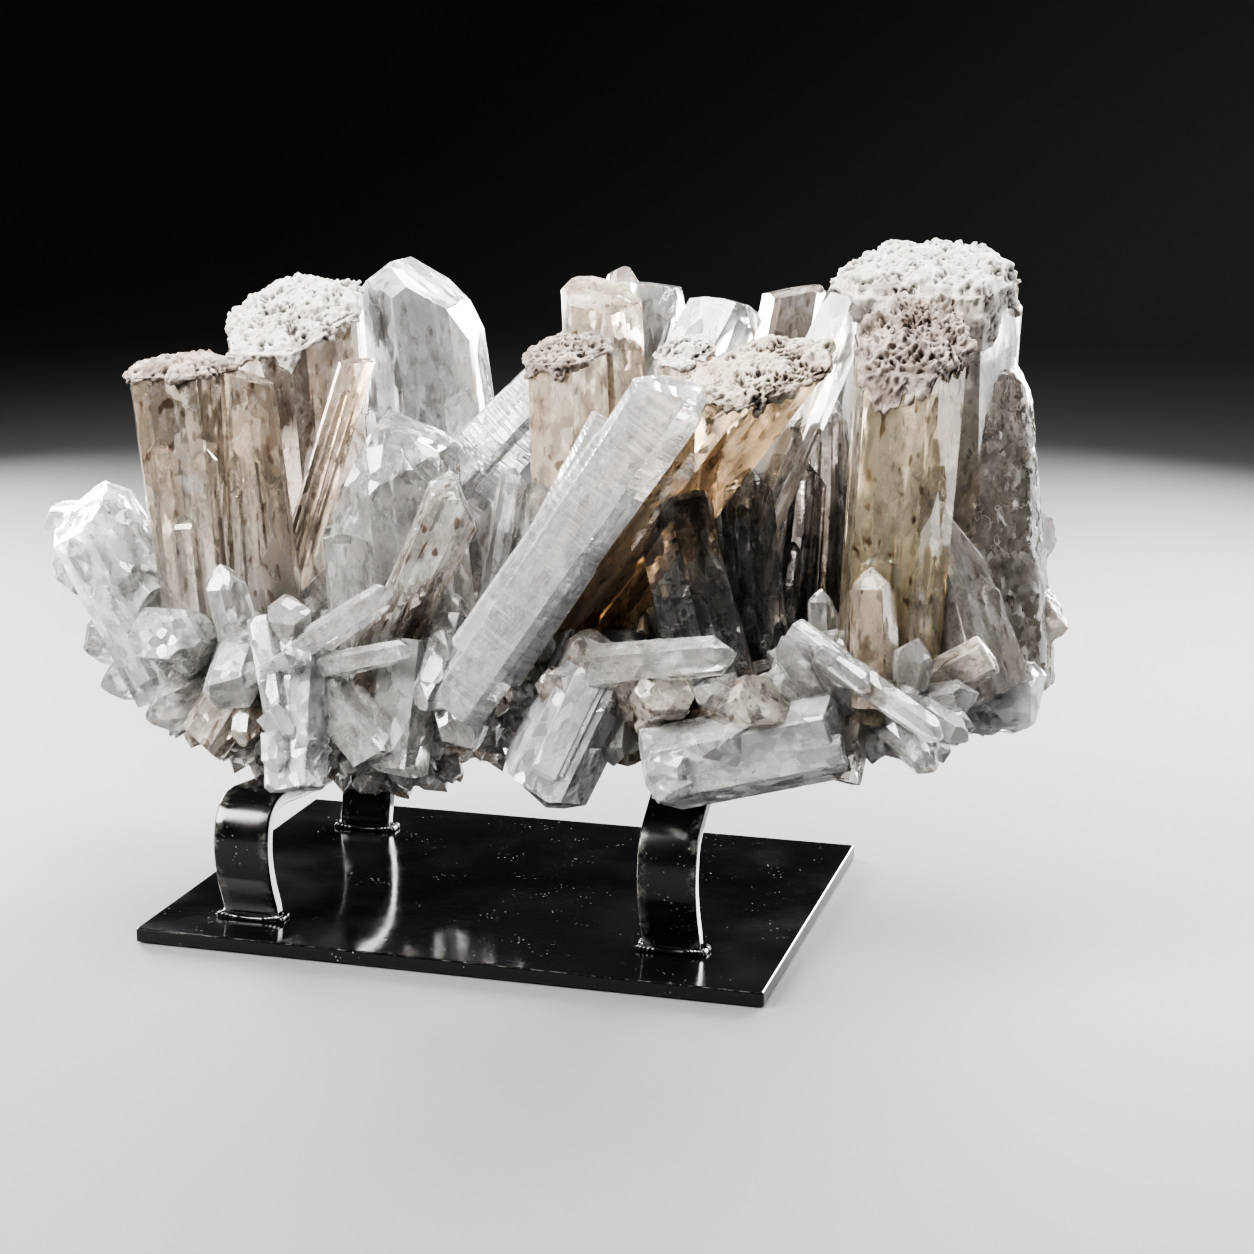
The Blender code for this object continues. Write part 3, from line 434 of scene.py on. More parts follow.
def clear_of_straps(points):
    """Lifts whatever would be in a strap to just above the strap's upper face."""
    points = points.copy()
    for x, line in ((LEFT_STRAP_X, LEFT_STRAP_LINE), (RIGHT_STRAP_X, RIGHT_STRAP_LINE)):
        near = np.abs(points[..., 0] - x) < BAR_WIDTH / 2 + SEAT_CLEAR
        floor = seat_height(points[..., 1], line)
        points[..., 2] = np.where(near, np.maximum(points[..., 2], floor), points[..., 2])
    return points


def base_body(u, v):
    """The base: at station u from the left end to the right, v turns once round the section. The
    section is a superellipse of power 2.6 between the underside and BASE_TOP. It shrinks to a
    point at both ends by taper, and its lower half rises by BASE_ROUND towards its edges."""
    x = BASE_LEFT + (BASE_RIGHT - BASE_LEFT) * u
    taper = (1 - np.abs(2 * u - 1) ** 3.4) ** (1 / 2.4)
    low = underside(x)
    middle, half = (BASE_TOP + low) / 2, (BASE_TOP - low) / 2
    cos, sin = np.cos(v), np.sin(v)
    y = BASE_HALF_DEPTH * taper * np.sign(cos) * np.abs(cos) ** SECTION_POWER
    z = middle + half * taper * np.sign(sin) * np.abs(sin) ** SECTION_POWER
    rise = BASE_ROUND * (y / BASE_HALF_DEPTH) ** 2 * (z < middle)
    return np.stack([x, y, z + rise], axis=-1)


def rock_material():
    """Brown and cream rock: layered noise for the colour, small cells for the sparkle."""
    made, tree, shader = new_material("iron-stained rock")
    place = add(tree, "TexCoord").outputs["Object"]
    stain = mask_of(tree, noise_of(tree, place, 46.0, 6.0, 0.65), 0.38, 0.62)
    cream = mask_of(tree, noise_of(tree, place, 130.0, 5.0, 0.7), 0.44, 0.62)
    colour = blend_of(tree, stain, IRON_DARK, IRON_TAN)
    put(tree, shader.inputs["Base Color"], blend_of(tree, cream, colour, GROUND_PALE))
    grains = add(tree, "TexVoronoi", {"Vector": place, "Scale": 620.0})
    put(tree, shader.inputs["Roughness"], number_of(tree, grains.outputs["Color"], 0.12, 0.75))
    height = math_of(tree, "ADD", grains.outputs["Distance"], noise_of(tree, place, 300.0, 5.0))
    bump = add(tree, "Bump", {"Height": height, "Strength": 0.9, "Distance": 0.0012})
    put(tree, shader.inputs["Normal"], bump.outputs["Normal"])
    return made


rock = rock_material()
ground = base_body(*np.meshgrid(np.linspace(0, 1, BASE_STATIONS),
                                np.linspace(0, math.tau, BASE_TURNS, endpoint=False),
                                indexing="ij"))
# Broad lumps and sharp creases, in millimetres, along the normals.
lumps = 5.0 * layered_noise(ground * 0.045, 2, 5) + 2.4 * np.abs(layered_noise(ground * 0.16, 3, 9))
ground = ground + grid_normals(ground) * lumps[..., None]
ground[0], ground[-1] = ground[0].mean(axis=0), ground[-1].mean(axis=0)
ground = clear_of_straps(ground)
new_piece("rock_base", ground.reshape(-1, 3), grid_faces(BASE_STATIONS, BASE_TURNS).tolist(), rock,
          "smoky_quartz", "quartz_cluster", smooth=True)


# Quartz: every crystal is six prism faces and a head, grown from the rock. The faces are true
# planes, so each crystal is worked out as the solid behind its planes, with its arrises eased.

PYRAMID_TILT = 51.8
ROOT, TURN, FLAT = 24.0, 30, 0.85
PATTERN_STEP = 61.0
FAMILY_SEED, CHIP_SEED, CHIPS = 300, 31, 5
EASED_ANGLE = math.radians(12)
IOR = 1.54
WATER, SNOW = (0.92, 0.915, 0.91, 1), (0.985, 0.98, 0.975, 1)
UMBER = (0.16, 0.10, 0.06, 1)

growth, given, out = new_group("growth marks", {
    "Place": None, "Panel place": None, "Lines": 0.5, "Break": 1.0, "Frost": 0.4, "Veil": 0.4,
    "Fleck": 0.0}, ("Height", "Normal", "Frost", "Veil", "Streak", "Fleck", "Shade"))


def stretched(tree, place, across, along):
    """The place with its two ways across the crystal and its way along scaled."""
    return vector_of(tree, "MULTIPLY", place, (across, across, along))


# Panels: flat patches that each lean a little their own way and have a shade of their own.
panels = add(growth, "TexVoronoi", {"Vector": given["Panel place"], "Scale": 1.0}).outputs
lean_way = vector_of(growth, "SUBTRACT", panels["Color"], (0.5, 0.5, 0.5))
lean_far = math_of(growth, "MULTIPLY", given["Break"], 0.04)
lean = add(growth, "VectorMath", {0: lean_way, "Scale": lean_far}, operation="SCALE").outputs[0]
leaning = vector_of(growth, "ADD", add(growth, "NewGeometry").outputs["Normal"], lean)
put(growth, out["Normal"], vector_of(growth, "NORMALIZE", leaning))
shade = add(growth, "SeparateXYZ", {0: panels["Color"]}).outputs
put(growth, out["Shade"], shade["X"])
# Growth lines from edge to edge, square to the crystal's length.
lines = noise_of(growth, stretched(growth, given["Place"], 0.035, 0.62), 1.0, 0.0)
put(growth, out["Height"], math_of(growth, "MULTIPLY", lines, given["Lines"]))
put(growth, out["Streak"], mask_of(growth, lines, 0.5, 0.66))
# Frost: dull etched patches. Veils: broad clouds and thin threads. Flecks: specks of mineral.
patches = noise_of(growth, stretched(growth, given["Place"], 0.05, 0.03), 1.0, 2.0, 0.65)
frosted = math_of(growth, "ADD", patches, math_of(growth, "MULTIPLY", shade["Y"], 0.16))
frosted = math_of(growth, "ADD", frosted, given["Frost"])
put(growth, out["Frost"], mask_of(growth, frosted, 0.84, 0.94))
wisps = noise_of(growth, stretched(growth, given["Place"], 0.07, 0.045), 1.0, 3.0, 0.74)
off_middle = math_of(growth, "ABSOLUTE", math_of(growth, "SUBTRACT", wisps, 0.5))
thread = math_of(growth, "MULTIPLY", mask_of(growth, off_middle, 0.022, 0.0), 0.8)
broad = mask_of(growth, math_of(growth, "ADD", wisps, given["Veil"]), 0.86, 0.98)
put(growth, out["Veil"], math_of(growth, "MAXIMUM", broad, thread))
spots = noise_of(growth, stretched(growth, given["Place"], 0.36, 0.16), 1.0, 0.0)
spots = mask_of(growth, spots, 0.68, 0.76)
put(growth, out["Fleck"], math_of(growth, "MULTIPLY", given["Fleck"], spots))


def quartz(name, clear, tip=None, veil_tone=SNOW, through=0.9, lines=0.0, panel=(0.14, 0.03),
           breaks=4.0, shade=0.5, frost=0.25, veil=0.3, streak=0.0, fleck=0.0, polish=0.01,
           matt=0.3, body=None, depth=0.0):
    """See-through quartz. clear is its colour at the root and tip at its head; through is its
    transmission, and body and depth what its thickness soaks up. panel is how many panels there
    are to a millimetre across and along, breaks how far they lean and shade how dark they get.
    lines, streak, frost, veil and fleck are how strong those marks are, veil_tone the colour of
    veils and streaks; polish and matt are its roughness where it is clear and where it is dull."""
    made, tree, shader = new_material(name)
    place = add(tree, "Attribute", attribute_name="grown").outputs["Vector"]
    share = add(tree, "Attribute", attribute_name="rise").outputs["Fac"]
    marks = use_group(tree, growth, **{
        "Place": place, "Panel place": stretched(tree, place, *panel), "Lines": lines,
        "Break": breaks, "Frost": frost, "Veil": veil, "Fleck": fleck})
    colour = blend_of(tree, mask_of(tree, share, 0.15, 0.9), clear, tip or clear)
    dim = add(tree, "Mix", {"Factor": shade}, data_type="RGBA", blend_type="MULTIPLY")
    put(tree, dim.inputs[6], colour)
    put(tree, dim.inputs[7], marks["Shade"])
    white = marks["Veil"]
    if streak:
        white = math_of(tree, "MAXIMUM", white, math_of(tree, "MULTIPLY", marks["Streak"], streak))
    colour = blend_of(tree, white, dim.outputs[2], veil_tone)
    put(tree, shader.inputs["Base Color"], blend_of(tree, marks["Fleck"], colour, UMBER))
    dull = math_of(tree, "MAXIMUM", marks["Frost"], math_of(tree, "MULTIPLY", marks["Veil"], 0.8))
    put(tree, shader.inputs["Roughness"], number_of(tree, dull, polish, matt))
    shader.inputs["IOR"].default_value = IOR
    shader.inputs["Transmission Weight"].default_value = through
    normal = marks["Normal"]
    if lines:
        bump = add(tree, "Bump", {"Height": marks["Height"], "Normal": normal, "Distance": 0.00025})
        normal = bump.outputs["Normal"]
    put(tree, shader.inputs["Normal"], normal)
    if body:
        inside = add(tree, "VolumeAbsorption", {"Color": body, "Density": depth})
        tree.links.new(inside.outputs[0], tree.nodes["Material Output"].inputs["Volume"])
    return made


def crystal(seed, foot, lean, back, length, width, **more):
    """One crystal's row: its root's place, its lean to the right and to the back in degrees,
    its length and width. faces in more lists what cuts its head, as (tilt, heading, shift): tilt
    from the axis, heading 0 right, 90 back, 180 left, 270 front, shift out in crystal widths."""
    return dict(seed=seed, foot=foot, lean=lean, back=back, length=length, width=width, **more)


def crystal_frame(lean, back):
    """The crystal's axis, and the directions to its right and its back."""
    lean, back = math.radians(lean), math.radians(back)
    axis = np.array([math.cos(back) * math.sin(lean), math.sin(back),
                     math.cos(back) * math.cos(lean)])
    helper = np.array([0.0, 1.0, 0.0]) if abs(axis[1]) < 0.8 else np.array([0.0, 0.0, 1.0])
    right = np.cross(helper, axis)
    right /= np.linalg.norm(right)
    return axis, right, np.cross(axis, right)


def slanted(axes, tilt, heading):
    """A unit normal that leans tilt from the axis towards heading."""
    axis, right, rear = axes
    tilt, heading = math.radians(tilt), math.radians(heading)
    return math.cos(tilt) * axis + math.sin(tilt) * (
        math.cos(heading) * right + math.sin(heading) * rear)


def side_planes(row, axes, seed):
    """The six prism faces, as normals and distances: each is the crystal's half width out from
    its axis, less across its flat way, and uneven by a tenth."""
    rng = np.random.default_rng(seed)
    width, flat = row["width"], row.get("flat", FLAT)
    middle = np.array(row["foot"], float) + axes[0] * row["length"] / 2
    normals, distances = [], []
    for k in range(6):
        heading = row.get("turn", TURN) + 60 * k
        across = math.hypot(math.cos(math.radians(heading)),
                            flat * math.sin(math.radians(heading)))
        normal = slanted(axes, 90 - row.get("taper", 1.5), heading)
        normals.append(normal)
        distances.append(normal @ middle + width / 2 * across * rng.uniform(0.90, 1.08))
    return normals, distances


def crystal_planes(row, seed):
    """All planes of a crystal: six sides, the root, and its head."""
    axes = crystal_frame(row["lean"], row["back"])
    normals, distances = side_planes(row, axes, seed)
    rng = np.random.default_rng(seed + 1000)
    foot, axis, width = np.array(row["foot"], float), axes[0], row["width"]
    tip = foot + axis * row["length"]
    normals.append(-axis)
    distances.append(-axis @ (foot - axis * row.get("root", ROOT)))
    head = row.get("faces") or [
        (PYRAMID_TILT, row.get("turn", TURN) + 60 * k, rng.uniform(0, 0.06) + 0.10 * (k % 2))
        for k in range(6)]
    for tilt, heading, *shift in head:
        normal = slanted(axes, tilt, heading)
        normals.append(normal)
        distances.append(normal @ tip + sum(shift) * width)
    return np.array(normals), np.array(distances)


def solid_behind(normals, distances):
    """Corners and faces of the solid behind all the planes. A corner is where three planes meet
    and none cuts it off; a face is the corners on one plane, in order round their middle."""
    triples = np.array(list(itertools.combinations(range(len(normals)), 3)))
    sides = normals[triples]
    crossing = np.abs(np.linalg.det(sides)) > 1e-5
    points = np.linalg.solve(sides[crossing], distances[triples][crossing][..., None])[..., 0]
    points = points[(points @ normals.T <= distances + 1e-6).all(axis=1)]
    points = np.unique(np.round(points, 3), axis=0)
    faces = []
    for normal, distance in zip(normals, distances):
        on = np.flatnonzero(np.abs(points @ normal - distance) < 4e-3)
        if len(on) < 3:
            continue
        spread = points[on] - points[on].mean(axis=0)
        first = spread[np.argmax(np.linalg.norm(spread, axis=1))]
        turn = np.arctan2(spread @ np.cross(normal, first) / np.linalg.norm(first),
                          spread @ first / np.linalg.norm(first))
        faces.append(on[np.argsort(turn)])
    return points, faces


def chipped(normals, distances, row, seed, count):
    """Adds count planes that chip the solid's corners off, by up to a fifteenth of its width,
    or more where the row has a deeper chip."""
    rng = np.random.default_rng(seed + 8000)
    points, _ = solid_behind(normals, distances)
    middle = points.mean(axis=0)
    pick = points[rng.integers(len(points), size=count)] - middle
    out = pick / np.linalg.norm(pick, axis=1)[:, None] + rng.normal(0, 0.32, pick.shape)
    out /= np.linalg.norm(out, axis=1)[:, None]
    deep = row["width"] * row.get("chip", 0.07) * rng.uniform(0.2, 1, count)
    reach = (points @ out.T).max(axis=0) - deep
    return np.vstack([normals, out]), np.concatenate([distances, reach])


def head_rows(row, count, seed):
    """Rows of the small blocky crystals crowded round a crystal's head."""
    rng = np.random.default_rng(seed + 6000)
    axis, right, rear = crystal_frame(row["lean"], row["back"])
    made = []
    for _ in range(count):
        turn, out = rng.uniform(0, math.tau), row["width"] * rng.uniform(0.26, 0.47)
        width = row["width"] * rng.uniform(0.2, 0.42)
        foot = (np.array(row["foot"]) + axis * (row["length"] * rng.uniform(0.55, 1.0) - width)
                + out * (math.cos(turn) * right + math.sin(turn) * rear))
        made.append(dict(foot=foot, lean=row["lean"] + rng.uniform(-34, 34),
                         back=row["back"] + rng.uniform(-34, 34), width=width,
                         length=width * rng.uniform(0.7, 1.1), turn=rng.uniform(0, 60), root=6))
    return made


def ledge_rows(row, count, seed):
    """Rows of the slivers that grew on against a crystal's sides, parallel to it: each stands a
    little proud of one side and stops somewhere below the head."""
    rng = np.random.default_rng(seed + 5000)
    axis, right, rear = crystal_frame(row["lean"], row["back"])
    highest = 0.76 if "crust" in row else 0.92
    made = []
    for _ in range(count):
        heading = math.radians(row.get("turn", TURN) + 60 * rng.integers(6) + rng.uniform(-24, 24))
        flat = row.get("flat", FLAT)
        across = math.hypot(math.cos(heading), flat * math.sin(heading))
        width = row["width"] * rng.uniform(0.22, 0.5)
        away = row["width"] / 2 * across * 0.97 - width * rng.uniform(0.22, 0.4)
        foot = np.array(row["foot"]) + away * (math.cos(heading) * right + math.sin(heading) * rear)
        made.append(dict(row, foot=foot, width=width, length=row["length"] * rng.uniform(0.35, highest),
                         faces=None, flat=0.9, taper=rng.uniform(0.2, 1.5),
                         root=min(10, row.get("root", ROOT))))
    return made


def crystals(name, finish, rows, arris=0.45):
    """One piece of several crystals with one finish; a row's ledges adds slivers. grown holds a
    point's place across and along its crystal in millimetres, moved on by PATTERN_STEP from one
    crystal to the next, and rise its share of the way up."""
    points, faces, grown, rise = [], [], [], []
    count = 0
    for row in rows.values():
        seed = row["seed"]
        family = [row] + ledge_rows(row, row.get("ledges", 0), seed)
        family += head_rows(row, row.get("blocks", 0), seed)
        for k, member in enumerate(family):
            planes = crystal_planes(member, seed + FAMILY_SEED * k)
            corner, sides = solid_behind(*chipped(*planes, member, seed + CHIP_SEED * k,
                                                  member.get("chips", CHIPS)))
            axis, right, rear = crystal_frame(row["lean"], row["back"])
            local = (corner - row["foot"]) @ np.array([right, rear, axis]).T
            points.append(corner)
            grown.append(local + PATTERN_STEP * (seed + k))
            rise.append(np.clip(local[:, 2] / row["length"], 0, 1))
            faces += [(side + count).tolist() for side in sides]
            count += len(corner)
    piece = new_piece(name, np.vstack(points), faces, finish, "smoky_quartz", "quartz_cluster",
                      grown=np.vstack(grown), rise=np.concatenate(rise))
    edge = piece.modifiers.new("eased arrises", "BEVEL")
    edge.width, edge.segments, edge.limit_method = arris * MM, 1, "ANGLE"
    edge.angle_limit = EASED_ANGLE
    return piece


# Left group: capped brown prisms standing close together, the wide pitted crystal behind them and
# an amber blade leaning across. Brown from natural radiation, greyer towards the roots.

LEFT_PRISMS = dict(
    capped_prism=crystal(2, (-132, -35, 118), -5, 2, 118, 46, faces=[(6, 275)], flat=0.72, taper=-1.5,
        crust=6.5, ledges=3),
    prism_twin=crystal(3, (-101, -35, 126), -5, 3, 108, 28, faces=[(20, 0)], taper=2, turn=15,
        ledges=3),
)
PITTED = dict(
    pitted_crystal=crystal(4, (-100, 15, 105), -3, -1, 150, 56, faces=[(27, 262)], turn=20, taper=-1,
        crust=7, ledges=3),
)
BLADE = dict(
    amber_blade=crystal(5, (-99, -15, 140), 19, 0, 106, 15, faces=[(24, 200)], flat=0.7, taper=0,
        ledges=2),
)
amber_grey = quartz("amber-brown quartz", (0.84, 0.81, 0.77, 1), (0.78, 0.69, 0.58, 1), through=0.91,
                    breaks=2, shade=0.2, veil=0.30, fleck=0.8, body=(0.66, 0.48, 0.32, 1), depth=11)
brown_grey = quartz("grey-brown quartz", (0.84, 0.81, 0.77, 1), (0.72, 0.65, 0.58, 1), through=0.90,
                    breaks=2, shade=0.2, frost=0.3, veil=0.36, fleck=0.9, body=(0.6, 0.47, 0.36, 1),
                    depth=9)
crystals("left_prisms", amber_grey, LEFT_PRISMS)
crystals("pitted_crystal", brown_grey, PITTED)
crystals("amber_blade", amber_grey, BLADE)


# Broken chunks: rough quartz with few faces left, white from countless small cracks. They lie over
# the left end and under the rim, and one dark etched crystal stands at the right end.

WHITE_CHUNKS = dict(
    rear_left_chunk=crystal(0, (-192, 25, 114), -34, -4, 64, 43,
        faces=[(26, 20), (58, 200, 0.34), (60, 20, 0.38)], ledges=3, blocks=8, chips=16, chip=0.2),
    white_broken=crystal(1, (-158, -25, 108), -24, -10, 74, 40, faces=[(30, 240), (60, 0, 0.36)],
        turn=10, ledges=3, blocks=7, chips=16, chip=0.2),
    end_on_left=crystal(44, (-135, -30, 112), 9, -72, 50, 29, faces=[(6, 0)], ledges=2, blocks=4,
        chips=10, chip=0.15),
    pitted_front=crystal(53, (-104, -58, 116), 160, -62, 27, 23, faces=[(8, 0), (45, 200, 0.32)],
        ledges=2, blocks=4, chips=10, chip=0.15),
)
MILKY_CHUNKS = dict(
    milky_big=crystal(40, (157, -70, 100), -104, -7, 73, 33,
        faces=[(20, 150), (48, 300, 0.3), (48, 60, 0.3), (46, 200, 0.26)], taper=0, root=8, ledges=4,
        blocks=16, chips=10, chip=0.15),
    pendant_mid=crystal(41, (54, -64, 108), -158, -18, 47, 37,
        faces=[(14, 300), (46, 20, 0.3), (46, 180, 0.28), (50, 90, 0.3)], taper=1, ledges=3, blocks=14,
        chips=12, chip=0.15),
    pendant_left=crystal(43, (-71, -73, 103), 174, -24, 42, 29,
        faces=[(10, 90), (44, 0, 0.3), (44, 180, 0.3)], ledges=3, blocks=11, chips=12, chip=0.15),
    right_chunk=crystal(39, (205, -20, 110), 84, -9, 34, 27, faces=[(14, 20), (52, 90, 0.36)], ledges=3,
        blocks=8, chips=12, chip=0.15),
)
DARK_CHUNKS = dict(
    rough_dark=crystal(36, (208, 10, 112), 0, 7, 130, 50, turn=0,
        faces=[(60, 0, 0.18), (50, 180, 0.2), (30, 270, 0.1)], taper=7, root=4),
    rough_dark_knob=crystal(37, (208, 18, 124), 52, 4, 36, 34,
        faces=[(8, 0), (45, 90, 0.3), (48, 250, 0.3)]),
)
CHUNK_RINGS, CHUNK_TURNS, ARRIS_SHARP = 110, 120, 0.55
COARSE_FACETS, FINE_FACETS = 0.11, 0.34


def facets(place, seed=0):
    """Crystal-like bumps, 0 to about 1 high, one to a unit cell. Each is a pyramid round its
    own point: it falls off with the largest distance along three turned axes, so its sides are
    flat, and where two meet the higher one shows."""
    base = np.floor(place).astype(np.int64)
    best = np.full(place.shape[:-1], -9.0)
    for step in itertools.product((-1, 0, 1), repeat=3):
        cell = base + step
        random = np.stack([cell_random(cell, seed * 31 + k) for k in range(7)], axis=-1)
        away = place - cell - random[..., :3]
        first = random[..., 3:6] - 0.5
        first /= np.linalg.norm(first, axis=-1)[..., None] + 1e-6
        second = np.cross(first, (0.3, 0.5, 0.8))
        second /= np.linalg.norm(second, axis=-1)[..., None] + 1e-6
        third = np.cross(first, second)
        reach = np.max([np.abs((away * way).sum(axis=-1)) for way in (first, second, third)], axis=0)
        best = np.maximum(best, random[..., 6] * 0.5 + 0.5 - reach)
    return best


def rough_chunk(row, coarse, fine):
    """A rough crystal: seen from its middle, each direction (u from root to head, v round) goes
    out to the nearest of its planes, with the arrises rounded by a soft minimum, then facets of
    two sizes and noise are added along the normals."""
    axes = crystal_frame(row["lean"], row["back"])
    normals, distances = crystal_planes(row, row["seed"])
    axis, width = axes[0], row["width"]
    root = row.get("root", ROOT)
    centre = np.array(row["foot"], float) + axis * (row["length"] - root) / 2
    u, v = np.meshgrid(np.linspace(0, math.pi, CHUNK_RINGS),
                       np.linspace(0, math.tau, CHUNK_TURNS, endpoint=False), indexing="ij")
    ray = (-np.cos(u)[..., None] * axis * (row["length"] + root) / 2
           + np.sin(u)[..., None] * (np.cos(v)[..., None] * axes[1] + np.sin(v)[..., None] * axes[2])
           * width / 2)
    ray /= np.linalg.norm(ray, axis=2)[..., None]
    slope = ray @ normals.T
    room = np.where(slope > 0.02, (distances - normals @ centre) / np.maximum(slope, 0.02), 1e3)
    reach = -np.log(np.exp(-ARRIS_SHARP * np.minimum(room, 400)).sum(axis=2)) / ARRIS_SHARP
    points = centre + ray * reach[..., None]
    push = coarse * (facets(points * COARSE_FACETS, row["seed"]) - 0.35)
    push += fine * (facets(points * FINE_FACETS, row["seed"] + 3) - 0.4)
    push += 0.5 * layered_noise(points * 0.5, 2, row["seed"])
    points = points + grid_normals(points) * push[..., None]
    points[0], points[-1] = points[0].mean(axis=0), points[-1].mean(axis=0)
    local = (points - row["foot"]) @ np.array([axes[1], axes[2], axis]).T
    return clear_of_straps(points), local, np.clip(local[..., 2] / row["length"], 0, 1)


def chunks(name, finish, rows, coarse, fine):
    """One piece of several rough crystals with one finish."""
    points, faces, grown, rise = [], [], [], []
    for k, row in enumerate(rows.values()):
        body, local, share = rough_chunk(row, coarse, fine)
        points.append(body.reshape(-1, 3))
        grown.append(local.reshape(-1, 3) + PATTERN_STEP * row["seed"])
        rise.append(share.ravel())
        faces.append(grid_faces(CHUNK_RINGS, CHUNK_TURNS) + k * CHUNK_RINGS * CHUNK_TURNS)
    return new_piece(name, np.vstack(points), np.vstack(faces).tolist(), finish, "smoky_quartz",
                     "quartz_cluster", smooth=True, grown=np.vstack(grown),
                     rise=np.concatenate(rise))


broken_white = quartz("broken white quartz", (0.92, 0.915, 0.905, 1), through=0.76, frost=0.34,
                      veil=0.40, panel=(0.24, 0.18), breaks=14, shade=0.5, matt=0.34)
milky = quartz("milky bluish quartz", (0.90, 0.905, 0.925, 1), through=0.76, frost=0.34, veil=0.40,
               panel=(0.24, 0.16), breaks=14, shade=0.5, matt=0.34)
etched_dark = quartz("dark etched quartz", (0.50, 0.46, 0.42, 1), (0.42, 0.38, 0.34, 1),
                     veil_tone=(0.62, 0.58, 0.54, 1), through=0.84, frost=0.3, veil=0.24,
                     panel=(0.5, 0.3), breaks=9, shade=0.3, polish=0.16, matt=0.5)
crystals("white_chunks", broken_white, WHITE_CHUNKS)
crystals("milky_chunks", milky, MILKY_CHUNKS)
chunks("dark_etched_crystal", etched_dark, DARK_CHUNKS, 1.2, 0.5)


# Back and centre left: the tall grey crystal behind, and the clear one with the sharp tip before
# it. Both are nearly colourless, with milky veils and patches like healed cracks.

TALL = dict(
    tall_back=crystal(6, (-43, 45, 121), -8, 5, 162, 56, turn=0,
        faces=[(38, 185, 0.06), (42, 350, -0.1), (64, 355, 0.12), (50, 270, 0.16), (58, 90, 0.3),
               (60, 190, 0.34)],
        ledges=3),
    small_behind_apex=crystal(22, (-51, 5, 160), 0, 0, 53, 12),
)
APEX = dict(
    clear_apex=crystal(7, (-42, -25, 112), -4, 0, 107, 58, turn=0,
        faces=[(29, 355), (64, 185), (52, 262, 0.06), (58, 90, 0.16)], ledges=3),
    milky_stub=crystal(23, (-49, -58, 124), -9, 3, 46, 21,
        faces=[(14, 90), (50, 180, 0.3), (50, 0, 0.32)], ledges=1),
)
grey_clear = quartz("grey clear quartz", (0.72, 0.71, 0.70, 1), (0.92, 0.915, 0.91, 1), through=0.87,
                    frost=0.28, veil=0.36, fleck=0.6, shade=0.4, body=(0.62, 0.6, 0.58, 1), depth=7)
clear = quartz("clear quartz", WATER, through=0.87, panel=(0.18, 0.08), breaks=8, shade=0.45,
               frost=0.24, veil=0.36, fleck=0.4)
crystals("tall_back", grey_clear, TALL)
crystals("clear_apex", clear, APEX)


# Leaning striated crystals: clear white quartz crossed by fine growth lines from edge to edge,
# with a bluish sheen, and the small upright ones and the brown fibrous bundle at their feet.

STRIATED = dict(
    striated_back=crystal(8, (-38, 5, 170), 43, 10, 106, 30, faces=[(30, 90)], turn=12, root=70,
        ledges=3),
    hero=crystal(17, (21, -78, 132), 34, 2, 133, 28, turn=24, faces=[(28, 200), (58, 0, 0.36)],
        flat=0.7, taper=-1, root=34, ledges=4),
    hero_side=crystal(18, (17, -64, 140), 28, 0, 98, 13, faces=[(20, 90)], taper=0.5, ledges=1),
)
SPIKES = dict(
    spike_left=crystal(19, (8, -50, 134), 8, 5, 68, 14, ledges=1),
    spike_right=crystal(20, (17, -45, 138), 11, 5, 60, 17, ledges=1),
    front_pointing_right=crystal(24, (-65, -73, 126), 56, -12, 52, 12),
    low_pointing_right=crystal(25, (-51, -76, 119), 73, -15, 40, 10),
    front_left_hexagon=crystal(26, (-104, -58, 118), -7, -12, 40, 18),
)
FIBRES = dict(
    fibre_bundle=crystal(21, (-35, -62, 124), 25, 4, 76, 22, faces=[(42, 20), (40, 230, 0.12)],
        taper=-2, ledges=7),
)
striated = quartz("striated white quartz", (0.88, 0.885, 0.91, 1), through=0.80, lines=3.0, frost=0.26,
                  veil=0.34, streak=1.0, fleck=0.3, panel=(0.12, 0.06), breaks=5, shade=0.4)
fibrous = quartz("brown fibrous quartz", (0.62, 0.52, 0.43, 1), (0.82, 0.79, 0.75, 1), through=0.84,
                 panel=(0.3, 0.02), breaks=7, shade=0.7, veil=0.36, fleck=0.9)
crystals("striated_crystals", striated, STRIATED)
crystals("small_upright_crystals", clear, SPIKES)
crystals("fibrous_bundle", fibrous, FIBRES)


# Middle group: the mottled tan prism, the bright crystals behind it, and the amber one with the
# beige cap that leans far to the right. Iron colours them where they touch the rock.

TAN = dict(
    tan_prism=crystal(9, (41, -35, 125), -3, 5, 124, 33, turn=18, faces=[(20, 262)], taper=0.5, crust=5,
        ledges=3),
    upper_crystal=crystal(10, (47, 2, 140), -4, 5, 130, 34, faces=[(30, 300), (50, 20, 0.34)],
        taper=0.5, ledges=3),
    small_capped=crystal(14, (80, -20, 150), 3, 0, 99, 20, faces=[(24, 250)], taper=0, crust=5),
)
BRIGHT = dict(
    bright_back=crystal(11, (29, 38, 150), 13, 4, 125, 32, faces=[(12, 190), (56, 5, 0.18)], turn=30,
        ledges=3),
    ridged_back=crystal(13, (35, 9, 150), 26, 9, 129, 36, faces=[(20, 150), (58, 350, 0.34)], turn=10,
        ledges=3),
)
SMOKY = dict(
    brown_tip=crystal(12, (15, 55, 150), 10, 2, 130, 21),
    smoky_back=crystal(15, (99, 42, 130), 8, 7, 143, 38,
        faces=[(20, 200), (48, 20, 0.14), (60, 180, 0.38)], ledges=3),
    brown_spike=crystal(31, (143, 15, 114), 0, 5, 114, 24, ledges=3),
)
